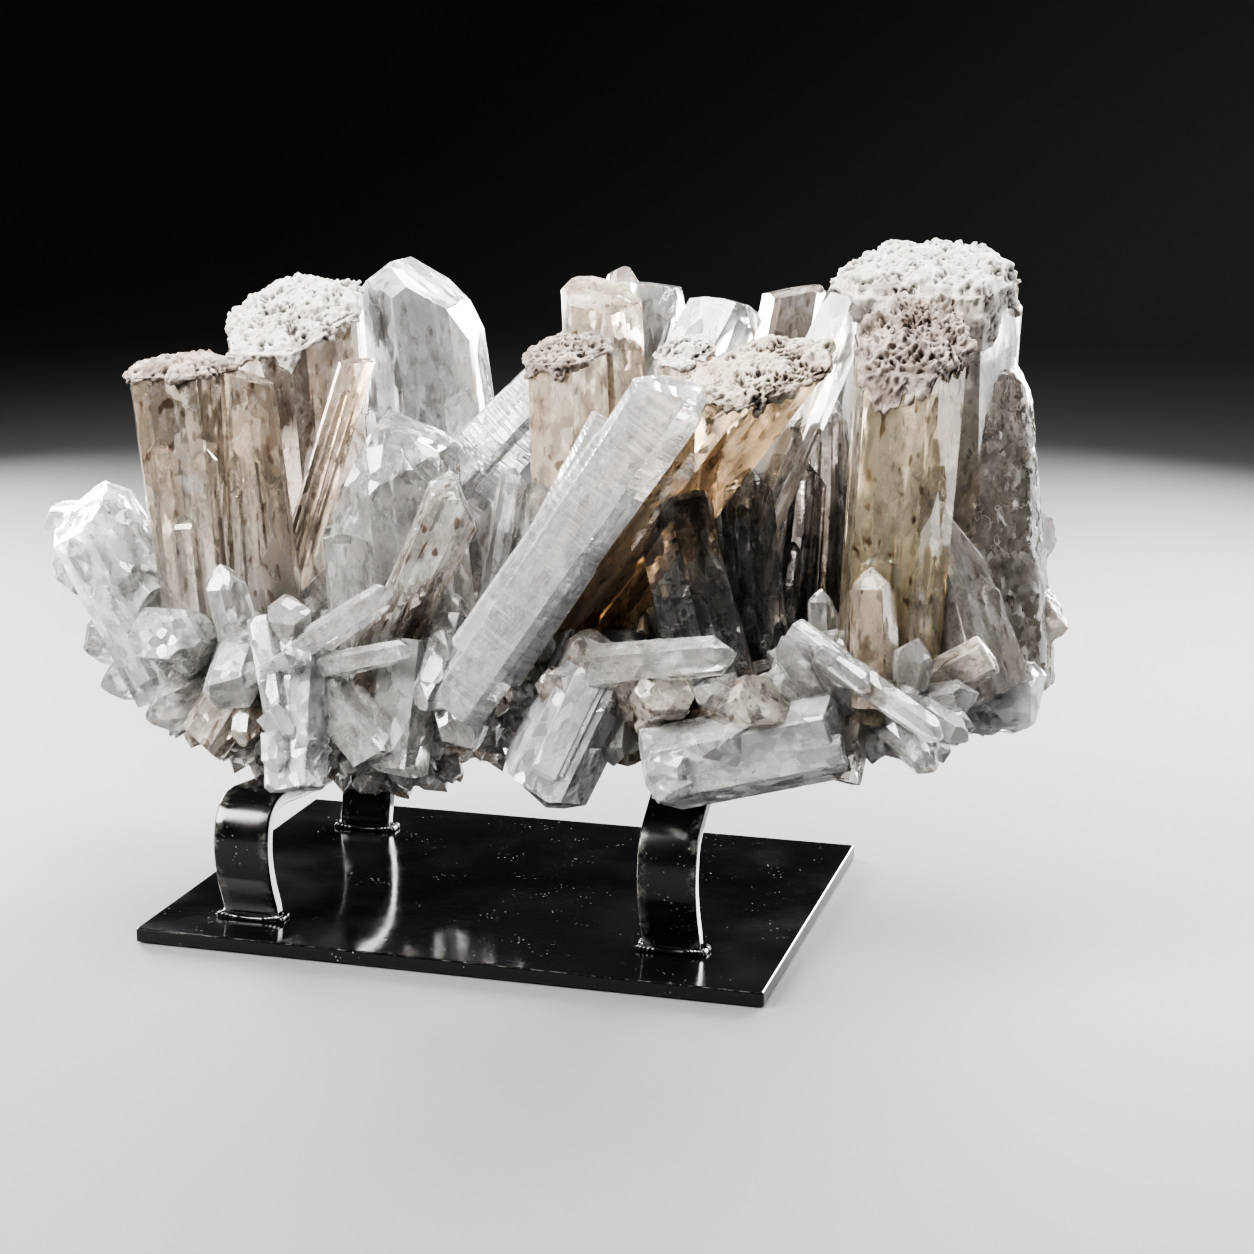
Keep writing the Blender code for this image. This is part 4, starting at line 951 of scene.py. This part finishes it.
AMBER = dict(
    amber_capped=crystal(16, (36, -38, 128), 36, 2, 143, 41, faces=[(46, 222)], turn=20, flat=0.95,
        taper=0, crust=7, ledges=3),
)
tan = quartz("mottled tan quartz", (0.66, 0.54, 0.41, 1), (0.70, 0.62, 0.53, 1), through=0.84,
             veil_tone=(0.90, 0.80, 0.68, 1), frost=0.3, veil=0.42, fleck=0.9,
             panel=(0.2, 0.1), breaks=5)
smoky = quartz("smoky brown quartz", (0.70, 0.62, 0.54, 1), (0.72, 0.65, 0.59, 1), through=0.90,
               breaks=3, shade=0.3, veil=0.32, fleck=0.6, body=(0.5, 0.38, 0.30, 1), depth=9)
amber = quartz("amber quartz", (0.86, 0.72, 0.56, 1), (0.80, 0.68, 0.49, 1), through=0.91,
               veil_tone=(0.96, 0.80, 0.60, 1), veil=0.34, fleck=0.9, panel=(0.16, 0.06), breaks=3,
               shade=0.25, body=(0.72, 0.50, 0.26, 1), depth=11)
crystals("tan_prisms", tan, TAN)
crystals("bright_crystals_behind", clear, BRIGHT)
crystals("smoky_crystals", smoky, SMOKY)
crystals("amber_capped_crystal", amber, AMBER)


# Right group: three dark glassy crystals, the long clear one that leans behind them, the olive
# amber column with a tan stub at its foot, the clear wedge at the end and the broad slab behind.

DARK = dict(
    dark_grey=crystal(27, (107, -48, 110), -16, 4, 82, 33, faces=[(16, 165)], turn=12, flat=0.8,
        taper=1, ledges=3),
    blue_grey=crystal(28, (119, -25, 105), -6, 3, 101, 26,
        faces=[(38, 200, 0.02), (52, 10, 0.06), (58, 270, 0.2)], ledges=3),
    dark_spike=crystal(30, (128, 0, 118), 3, 7, 82, 18, ledges=2),
)
LONG_CLEAR = dict(
    long_clear=crystal(29, (92, -14, 125), 22, 7, 156, 25, faces=[(16, 90)], turn=8, taper=0.5,
        ledges=3),
    clear_wedge=crystal(38, (213, -30, 124), -17, 0, 68, 31,
        faces=[(66, 10, 0.10), (62, 185, 0.12), (50, 270, 0.2)], taper=7, turn=12, root=9, ledges=3),
    right_back_clear=crystal(35, (193, 34, 130), 2, 4, 142, 38, faces=[(20, 320)], taper=0),
)
COLUMN = dict(
    amber_column=crystal(32, (177, -45, 110), 2, 6, 150, 42, faces=[(38, 262)], turn=22, taper=-0.5,
        crust=7, root=6, ledges=3),
)
STUB = dict(
    tan_stub=crystal(33, (177, -66, 118), -4, 8, 52, 18, root=4),
)
SLAB = dict(
    right_back_slab=crystal(34, (181, 20, 118), -1, 3, 161, 74, faces=[(18, 268)], flat=0.68, taper=0,
        crust=9, ledges=3),
)
glassy_dark = quartz("dark glassy quartz", (0.56, 0.56, 0.565, 1), (0.68, 0.68, 0.69, 1), through=0.94,
                     lines=0.9, frost=0.22, veil=0.28, fleck=0.4, breaks=6, shade=0.6,
                     body=(0.42, 0.41, 0.41, 1), depth=10)
pink_clear = quartz("pinkish clear quartz", (0.80, 0.75, 0.71, 1), (0.91, 0.885, 0.87, 1), through=0.86,
                    frost=0.26, veil=0.36, fleck=0.6, breaks=5, shade=0.4)
olive = quartz("olive amber quartz", (0.78, 0.69, 0.53, 1), (0.84, 0.78, 0.64, 1), through=0.92,
               veil_tone=(0.92, 0.84, 0.66, 1), veil=0.32, fleck=0.9, frost=0.26, breaks=2.5,
               shade=0.22, body=(0.72, 0.56, 0.30, 1), depth=11)
crystals("dark_crystals", glassy_dark, DARK)
crystals("long_clear_crystals", pink_clear, LONG_CLEAR)
crystals("amber_column", olive, COLUMN)
crystals("tan_stub", tan, STUB)
crystals("slab_behind", grey_clear, SLAB)


# Rim: clear single crystals lying and hanging round the front edge, each grown outwards from the
# rock, with brown stain where the rock shows through their roots.

RIM = dict(
    pendant_point=crystal(42, (68, -60, 112), 178, -28, 33, 15),
    lies_in_front=crystal(45, (84, -78, 129), 79, -8, 40, 15),
    left_rim_high=crystal(46, (-164, -10, 104), -81, -8, 33, 26, faces=[(18, 80), (52, 200, 0.34)]),
    left_rim_low=crystal(47, (-163, -20, 97), -108, -34, 28, 21),
    left_low=crystal(48, (-122, -48, 96), -113, -34, 33, 20),
    low_clear=crystal(49, (-58, -66, 101), 128, -23, 38, 27, faces=[(20, 0), (50, 180, 0.3)]),
    over_pendant=crystal(50, (-81, -80, 114), 162, -21, 21, 12),
    needle=crystal(54, (-92, -78, 110), 61, -18, 31, 7.5),
    white_rough=crystal(55, (-81, -62, 112), 11, -20, 31, 19, faces=[(20, 250), (48, 60, 0.28)]),
    low_mid_left=crystal(56, (-26, -68, 104), 180, -20, 31, 26, faces=[(16, 60), (48, 270, 0.3)]),
    low_mid_right=crystal(57, (-2, -68, 108), 149, -34, 29, 24),
    front_facing=crystal(58, (-9, -68, 118), 170, -56, 24, 18),
    rim_prism_left=crystal(65, (157, -60, 112), -27, -30, 40, 16),
    rim_prism_mid=crystal(66, (166, -60, 114), -21, -33, 34, 14),
    long_rim_upper=crystal(67, (163, -70, 131), 116, -19, 53, 11),
    long_rim_lower=crystal(68, (178, -60, 123), 114, -20, 45, 11),
    white_flat=crystal(69, (163, -76, 133), 119, -20, 18, 8),
    round_clear=crystal(70, (188, -60, 116), 12, -20, 31, 15),
    clear_right_upper=crystal(72, (186, -58, 112), 73, -11, 34, 15),
    clear_right_lower=crystal(73, (188, -60, 112), 97, -15, 31, 13),
    small_right=crystal(74, (198, -54, 103), 94, -20, 16, 8),
    down_right=crystal(75, (186, -60, 102), 121, -31, 24, 13),
    lump_under_right=crystal(77, (177, -54, 103), -178, -40, 17, 13),
    small_white=crystal(78, (148, -30, 126), -2, -6, 28, 10),
    star_ray=crystal(79, (130, -73, 107), -55, -30, 31, 12),
)
STAINED_RIM = dict(
    brown_rim=crystal(51, (-107, -58, 100), -153, -27, 29, 23,
        faces=[(12, 0), (46, 90, 0.3), (46, 270, 0.3)]),
    brown_rim_point=crystal(52, (-98, -66, 97), 175, -31, 21, 12),
    tan_left=crystal(59, (48, -60, 108), 25, -24, 31, 20, faces=[(14, 0), (46, 180, 0.3)]),
    tan_right=crystal(60, (72, -64, 106), 11, -24, 26, 19, faces=[(14, 200), (46, 0, 0.3)]),
    tan_low=crystal(61, (45, -68, 106), -7, -32, 21, 15),
    brown_upper=crystal(62, (85, -64, 108), 40, -55, 26, 23, faces=[(12, 90), (46, 270, 0.3)]),
    brown_lower=crystal(63, (87, -64, 97), -2, -62, 19, 17),
    brown_beside=crystal(64, (118, -68, 107), 55, -38, 26, 24, faces=[(15, 120), (45, 300, 0.3)]),
    brown_inclusion=crystal(71, (195, -48, 118), 55, -15, 33, 17, faces=[(20, 90), (48, 270, 0.3)]),
    lump_under=crystal(76, (164, -58, 106), -175, -25, 25, 19,
        faces=[(6, 0), (42, 90, 0.3), (42, 270, 0.28)]),
)
stained = quartz("brown stained quartz", (0.64, 0.51, 0.40, 1), (0.92, 0.87, 0.81, 1), through=0.76,
                 veil_tone=(0.92, 0.86, 0.79, 1), frost=0.3, veil=0.36, fleck=0.8, panel=(0.22, 0.16),
                 breaks=10, shade=0.7)
crystals("rim_crystals", clear, RIM, 0.3)
crystals("stained_rim_crystals", stained, STAINED_RIM, 0.3)


# Far side: a guess, because only the front is known. It is grown in the same manner as the
# front, with fewer and plainer crystals and their points turned outwards.

FAR_SIDE = dict(
    back_far_left=crystal(80, (-165, 46, 108), -34, 24, 54, 26),
    back_left=crystal(81, (-112, 58, 112), -12, 26, 88, 30, faces=[(26, 60), (55, 200, 0.3)], ledges=3),
    back_left_mid=crystal(82, (-72, 64, 112), 10, 34, 58, 20),
    back_mid=crystal(83, (-8, 58, 112), 10, 26, 66, 26),
    back_mid_right=crystal(84, (52, 58, 116), 4, 20, 104, 32, faces=[(24, 120), (54, 300, 0.3)],
        ledges=3),
    back_right_mid=crystal(85, (94, 62, 114), 18, 34, 66, 20),
    back_right=crystal(86, (146, 56, 116), -6, 24, 98, 30, ledges=3),
    back_far_right=crystal(87, (196, 50, 112), 26, 24, 66, 26, faces=[(30, 80), (50, 250, 0.3)]),
    back_low_left=crystal(88, (-128, 58, 96), -30, 62, 34, 22),
    back_low_mid=crystal(89, (-34, 62, 98), -14, 66, 32, 24, faces=[(12, 0), (48, 180, 0.3)]),
    back_low_right=crystal(90, (72, 62, 104), 24, 66, 32, 20),
    back_low_far=crystal(91, (170, 56, 104), 34, 58, 34, 22),
    left_end_low=crystal(92, (-166, 16, 96), -112, 18, 22, 20),
    right_end_low=crystal(93, (212, 16, 98), 112, 20, 22, 22),
)
crystals("far_side_crystals", pink_clear, FAR_SIDE)


# Crusts: a porous pale mineral left on the broken tops, full of small holes where crystals of
# something else were dissolved. It laps over the arrises and runs a little way down the sides.

CRUST_SPOKES, CRUST_UNDER, CRUST_DOWN, CRUST_OVER = 230, 6, 16, 56
CRUST_LIFT, CRUST_SIDE, CRUST_SHELL = 0.45, 0.3, 1.1
CRUST_WHITE, CRUST_BEIGE = (0.44, 0.42, 0.40, 1), (0.25, 0.21, 0.175, 1)
# The near-black colour is painted shade for the crusts' pits and pores; PIT_DEPTH is how far, in
# millimetres, a pit is pressed in.
PIT_SHADE, PIT_DEPTH = (0.045, 0.038, 0.034, 1), 2.2
LUMPS, HOLES, HOLE_PATCHES = 0.42, (0.5, 0.5, 0.36), 0.16


def crust_material(name, pale, tint):
    """Chalky mineral, warmer in patches, with painted shade in its pits (the pit attribute) and pores,
    and fine grit.
    """
    made, tree, shader = new_material(name)
    place = add(tree, "TexCoord").outputs["Object"]
    patches = mask_of(tree, noise_of(tree, place, 90.0, 5.0, 0.65), 0.36, 0.64)
    colour = blend_of(tree, patches, pale, tint)
    pit_shade = add(tree, "Attribute", attribute_name="pit").outputs["Fac"]
    small = add(tree, "TexVoronoi", {"Vector": place, "Scale": 520.0})
    pores = mask_of(tree, small.outputs["Distance"], 0.24, 0.12)
    lone = mask_of(tree, noise_of(tree, place, 240.0, 2.0), 0.45, 0.6)
    # Painted shade: the pits and some of the pores are blended to near black, for the shade that falls
    # inside them.
    dark = math_of(tree, "MAXIMUM", pit_shade, math_of(tree, "MULTIPLY", pores, lone))
    put(tree, shader.inputs["Base Color"], blend_of(tree, dark, colour, PIT_SHADE))
    put(tree, shader.inputs["Roughness"], number_of(tree, patches, 0.78, 0.95))
    grit = math_of(tree, "SUBTRACT", noise_of(tree, place, 900.0, 4.0, 0.7), pores)
    bump = add(tree, "Bump", {"Height": grit, "Strength": 0.7, "Distance": 0.0005})
    put(tree, shader.inputs["Normal"], bump.outputs["Normal"])
    return made


def crust_piece(name, row, finish, drip, rough, dome=0.42, steady=0.42):
    """A closed polar grid over a cut top. Along each spoke it goes out under the crust, down
    the crystal's side by the drip's length, back up, round the rim and in over the top; facets
    and noise raise the top, and pits are pressed into it."""
    axes = crystal_frame(row["lean"], row["back"])
    axis = axes[0]
    normals, distances = (np.array(part) for part in side_planes(row, axes, row["seed"]))
    tip = np.array(row["foot"], float) + axis * row["length"]
    tilt, heading = row["faces"][0][:2]
    top = slanted(axes, tilt, heading)
    across = np.cross(top, axes[2])
    across /= np.linalg.norm(across)
    turn = np.linspace(0, math.tau, CRUST_SPOKES, endpoint=False)
    ray = np.cos(turn)[:, None] * across + np.sin(turn)[:, None] * np.cross(top, across)
    slope = ray @ normals.T
    reach = np.nanmin((distances - normals @ tip) / np.where(slope > 1e-6, slope, np.nan), axis=1)
    wander = np.column_stack([np.cos(turn), np.sin(turn), np.full_like(turn, row["seed"])])
    depth = drip * np.clip(steady + 0.7 * layered_noise(wander * 3.2, 5, row["seed"]), 0.1, 1.3)
    rows = []
    for share in np.linspace(0, 0.97, CRUST_UNDER):
        rows.append((reach * share, np.zeros_like(reach)))
    for share in np.linspace(0, 1, CRUST_DOWN):
        rows.append((reach + CRUST_SIDE, -depth * share))
    rows.append((reach + CRUST_SIDE + 0.35, -depth - 0.35))
    for share in np.linspace(1, 0, CRUST_DOWN):
        rows.append((reach + CRUST_SIDE + CRUST_SHELL, -depth * share))
    for share in np.linspace(0, 1, CRUST_OVER):
        edge = 1 - share
        swell = row["crust"] * 0.9 * (1 - edge**9) ** 0.5 * (1 - dome * edge**3)
        rows.append((np.where(share < 1, reach * edge, 0) + 0.9 * edge**0.5 * (share < 1), swell))
    out = np.stack([np.broadcast_to(r, turn.shape) for r, _ in rows])
    high = np.stack([np.broadcast_to(h, turn.shape) for _, h in rows])
    points = tip + axis * (CRUST_LIFT + high)[..., None] + ray * out[..., None]
    first_out = CRUST_UNDER + CRUST_DOWN + 1
    outside = (np.arange(len(rows)) >= first_out)[:, None]
    cells = facets(points * LUMPS, row["seed"] + 40)
    holes = facets(points * HOLES, row["seed"] + 41)
    gate = np.clip(0.8 + 1.6 * layered_noise(points * HOLE_PATCHES, 2, row["seed"] + 42), 0, 1)
    # pit presses the pits in, and as the pit attribute it paints shade into them in the crust material.
    pit = np.clip((holes - 0.38) / 0.16, 0, 1) * gate
    push = rough * (1.1 * (cells - 0.45) + 1.0 * layered_noise(points * 0.14, 3, row["seed"]) - 0.2)
    push = (push - PIT_DEPTH * pit) * outside
    side = slice(first_out, first_out + CRUST_DOWN)
    push[side] = np.clip(push[side] + CRUST_SHELL, -0.4, 2.4)
    points = points + grid_normals(points) * push[..., None]
    points[0], points[-1] = points[0].mean(axis=0), points[-1].mean(axis=0)
    return new_piece(name + "_skin", points.reshape(-1, 3),
                     grid_faces(len(rows), CRUST_SPOKES).tolist(), finish, "pale_crust", name,
                     smooth=True, pit=(pit * outside).ravel())


white_crust = crust_material("white crust", CRUST_WHITE, (0.31, 0.285, 0.265, 1))
pink_crust = crust_material("pinkish grey crust", (0.29, 0.25, 0.23, 1), (0.13, 0.105, 0.09, 1))
beige_crust = crust_material("beige crust", (0.36, 0.33, 0.285, 1), CRUST_BEIGE)
crust_piece("crust_capped_prism", LEFT_PRISMS["capped_prism"], pink_crust, 2.5, 1.6)
crust_piece("crust_pitted_crystal", PITTED["pitted_crystal"], white_crust, 7.0, 1.9)
crust_piece("crust_tan_prism", TAN["tan_prism"], pink_crust, 6.0, 1.6)
crust_piece("crust_small_capped", TAN["small_capped"], white_crust, 2.5, 1.2)
crust_piece("crust_amber_capped", AMBER["amber_capped"], beige_crust, 6.5, 1.8)
crust_piece("crust_amber_column", COLUMN["amber_column"], pink_crust, 16.0, 2.8, 0.42, 0.6)
crust_piece("crust_right_back_slab", SLAB["right_back_slab"], white_crust, 17.0, 1.8, 0.05, 0.8)


# Druse: hundreds of small clear points that cover the rock between the large crystals, standing
# out in all directions, and finer brown ones underneath where iron water ran off.

DRUSE_ROOT = 5.0
ground_out = grid_normals(ground)


def small_points(name, finish, seed, count, wide, long, chosen):
    """Small crystals on the rock. Each is six sides and a six-sided point: a root ring, a
    shoulder ring whose corners stand at uneven heights, and a tip a little off the axis."""
    rng = np.random.default_rng(seed)
    rows, columns = np.nonzero(chosen)
    pick = rng.choice(len(rows), count, replace=len(rows) < count)
    foot, out = ground[rows[pick], columns[pick]], ground_out[rows[pick], columns[pick]]
    axis = out + rng.normal(0, 0.34, out.shape)
    axis /= np.linalg.norm(axis, axis=1)[:, None]
    first = np.cross(axis, rng.normal(0, 1, out.shape))
    first /= np.linalg.norm(first, axis=1)[:, None]
    second = np.cross(axis, first)
    width = rng.uniform(*wide, count) * rng.uniform(0.6, 1.0, count)
    length = width * rng.uniform(*long, count)
    turn = np.arange(6) * math.tau / 6 + rng.normal(0, 0.07, (count, 6))
    ring = (np.cos(turn)[..., None] * first[:, None]
            + np.sin(turn)[..., None] * second[:, None] * rng.uniform(0.66, 1, count)[:, None, None])
    ring = ring * (width / 2)[:, None, None]
    shoulder = length[:, None] - width[:, None] * rng.uniform(0.25, 0.8, (count, 6))
    low = foot[:, None] + ring * 1.06 - axis[:, None] * DRUSE_ROOT
    high = foot[:, None] + ring + axis[:, None] * np.maximum(shoulder, 1.0)[..., None]
    tip = foot + axis * length[:, None] + ring[:, 0] * 0.15
    points = np.concatenate([low, high, tip[:, None]], axis=1)
    faces = []
    for k in range(6):
        nxt = (k + 1) % 6
        faces += [[k, nxt, 6 + nxt, 6 + k], [6 + k, 6 + nxt, 12]]
    faces.append([5, 4, 3, 2, 1, 0])
    every = [[corner + 13 * n for corner in one] for n in range(count) for one in faces]
    frames = np.stack([first, second, axis], axis=1)
    local = np.einsum("nij,nkj->nki", frames, points - foot[:, None])
    rise = np.clip(local[..., 2] / length[:, None], 0, 1)
    points = clear_of_straps(points)
    return new_piece(name, points.reshape(-1, 3), every, finish, "smoky_quartz", "quartz_cluster",
                     grown=(local + PATTERN_STEP * np.arange(count)[:, None, None]).reshape(-1, 3),
                     rise=rise.ravel())


front_band = (ground_out[..., 1] < -0.25) & (np.abs(ground_out[..., 0]) < 0.95)
upper_band = (ground_out[..., 2] > 0.35)
under_band = (ground_out[..., 2] < -0.3)
back_band = (ground_out[..., 1] > 0.25)
ends = np.abs(ground_out[..., 0]) > 0.5
near_white = quartz("clear druse", (0.80, 0.75, 0.71, 1), (0.97, 0.965, 0.96, 1), through=0.76,
                    panel=(0.24, 0.2), breaks=10, shade=0.6, frost=0.26, veil=0.40, fleck=0.3)
small_points("front_druse", near_white, 21, 560, (7, 16), (0.7, 1.4), front_band | ends)
small_points("front_stained_druse", stained, 22, 260, (5, 12), (0.7, 1.3), front_band)
small_points("rim_druse", near_white, 26, 110, (8, 17), (1.1, 2.0), front_band & (ground[..., 2] > 94))
small_points("top_druse", near_white, 23, 170, (7, 15), (1.1, 2.0), upper_band)
small_points("far_druse", near_white, 24, 170, (8, 16), (0.8, 1.6), back_band)
small_points("underside_druse", stained, 25, 300, (5, 10), (0.6, 1.1), under_band)


# Studio: a mid-grey floor, which doesn't fill the glass with white from below, and five soft
# lights. The key stands in front on the left and one hangs above; those to the right, behind and
# to the left behind give the crystals their bright edges.

FLOOR_GREY = (0.115, 0.115, 0.117, 1)
FLOOR_REACH, FLOOR_SWEEP, FLOOR_SPOKES = 2.4, 1.4, 96
ROOM_GREY = (0.07, 0.07, 0.072, 1)
LIGHT_SPREAD = math.radians(100)


def swept_floor():
    """A disc that sweeps up at its rim: flat out to FLOOR_REACH, then a quarter circle of radius
    FLOOR_SWEEP, turned once round."""
    bend = np.linspace(0, math.pi / 2, 24)
    radius = np.concatenate([[0.01], FLOOR_REACH + FLOOR_SWEEP * np.sin(bend)])
    height = np.concatenate([[0], FLOOR_SWEEP * (1 - np.cos(bend))]) - 0.0005
    turn = np.linspace(0, math.tau, FLOOR_SPOKES, endpoint=False)
    points = np.stack([radius[:, None] * np.cos(turn), radius[:, None] * np.sin(turn),
                       np.broadcast_to(height[:, None], (len(radius), FLOOR_SPOKES))], axis=-1)
    mesh = bpy.data.meshes.new("floor")
    mesh.from_pydata(points.reshape(-1, 3), [], grid_faces(len(radius), FLOOR_SPOKES)[:, ::-1].tolist()
                     + [list(range(FLOOR_SPOKES))])
    mesh.shade_smooth()
    return mesh


floor = bpy.data.objects.new("floor", swept_floor())
bpy.context.scene.collection.objects.link(floor)
floor_finish, _, floor_shader = new_material("pale floor")
floor_shader.inputs["Base Color"].default_value = FLOOR_GREY
floor_shader.inputs["Roughness"].default_value = 0.8
floor.data.materials.append(floor_finish)


def soft_light(name, place, aim, size, power, colour=(1, 1, 1)):
    """A square light at place, in metres from the middle of the plate's top face, turned
    towards aim."""
    made = bpy.data.lights.new(name, "AREA")
    made.shape, made.size, made.energy, made.color = "SQUARE", size, power, colour
    made.spread = LIGHT_SPREAD
    lamp = bpy.data.objects.new(name, made)
    lamp.location = PLATE_TOP + place
    lamp.rotation_euler = (Vector(aim) - Vector(place)).to_track_quat("-Z", "Y").to_euler()
    bpy.context.scene.collection.objects.link(lamp)


soft_light("key", (-1.1, -0.9, 1.1), (0, 0, 0.13), 1.1, 40, (1, 0.965, 0.92))
soft_light("right", (1.5, 0.45, 0.5), (0, 0, 0.12), 1.2, 12)
soft_light("above", (0.1, 0.1, 1.5), (0, 0, 0.16), 1.0, 20, (1, 0.98, 0.95))
soft_light("behind", (0.5, 1.2, 0.7), (0, 0, 0.16), 1.0, 36)
soft_light("left behind", (-1.1, 0.9, 0.5), (0, 0, 0.16), 0.7, 20)
world = bpy.data.worlds.new("room")
world.use_nodes = True
world.node_tree.nodes["Background"].inputs["Color"].default_value = ROOM_GREY
bpy.context.scene.world = world
bpy.context.scene.view_settings.look = "AgX - High Contrast"
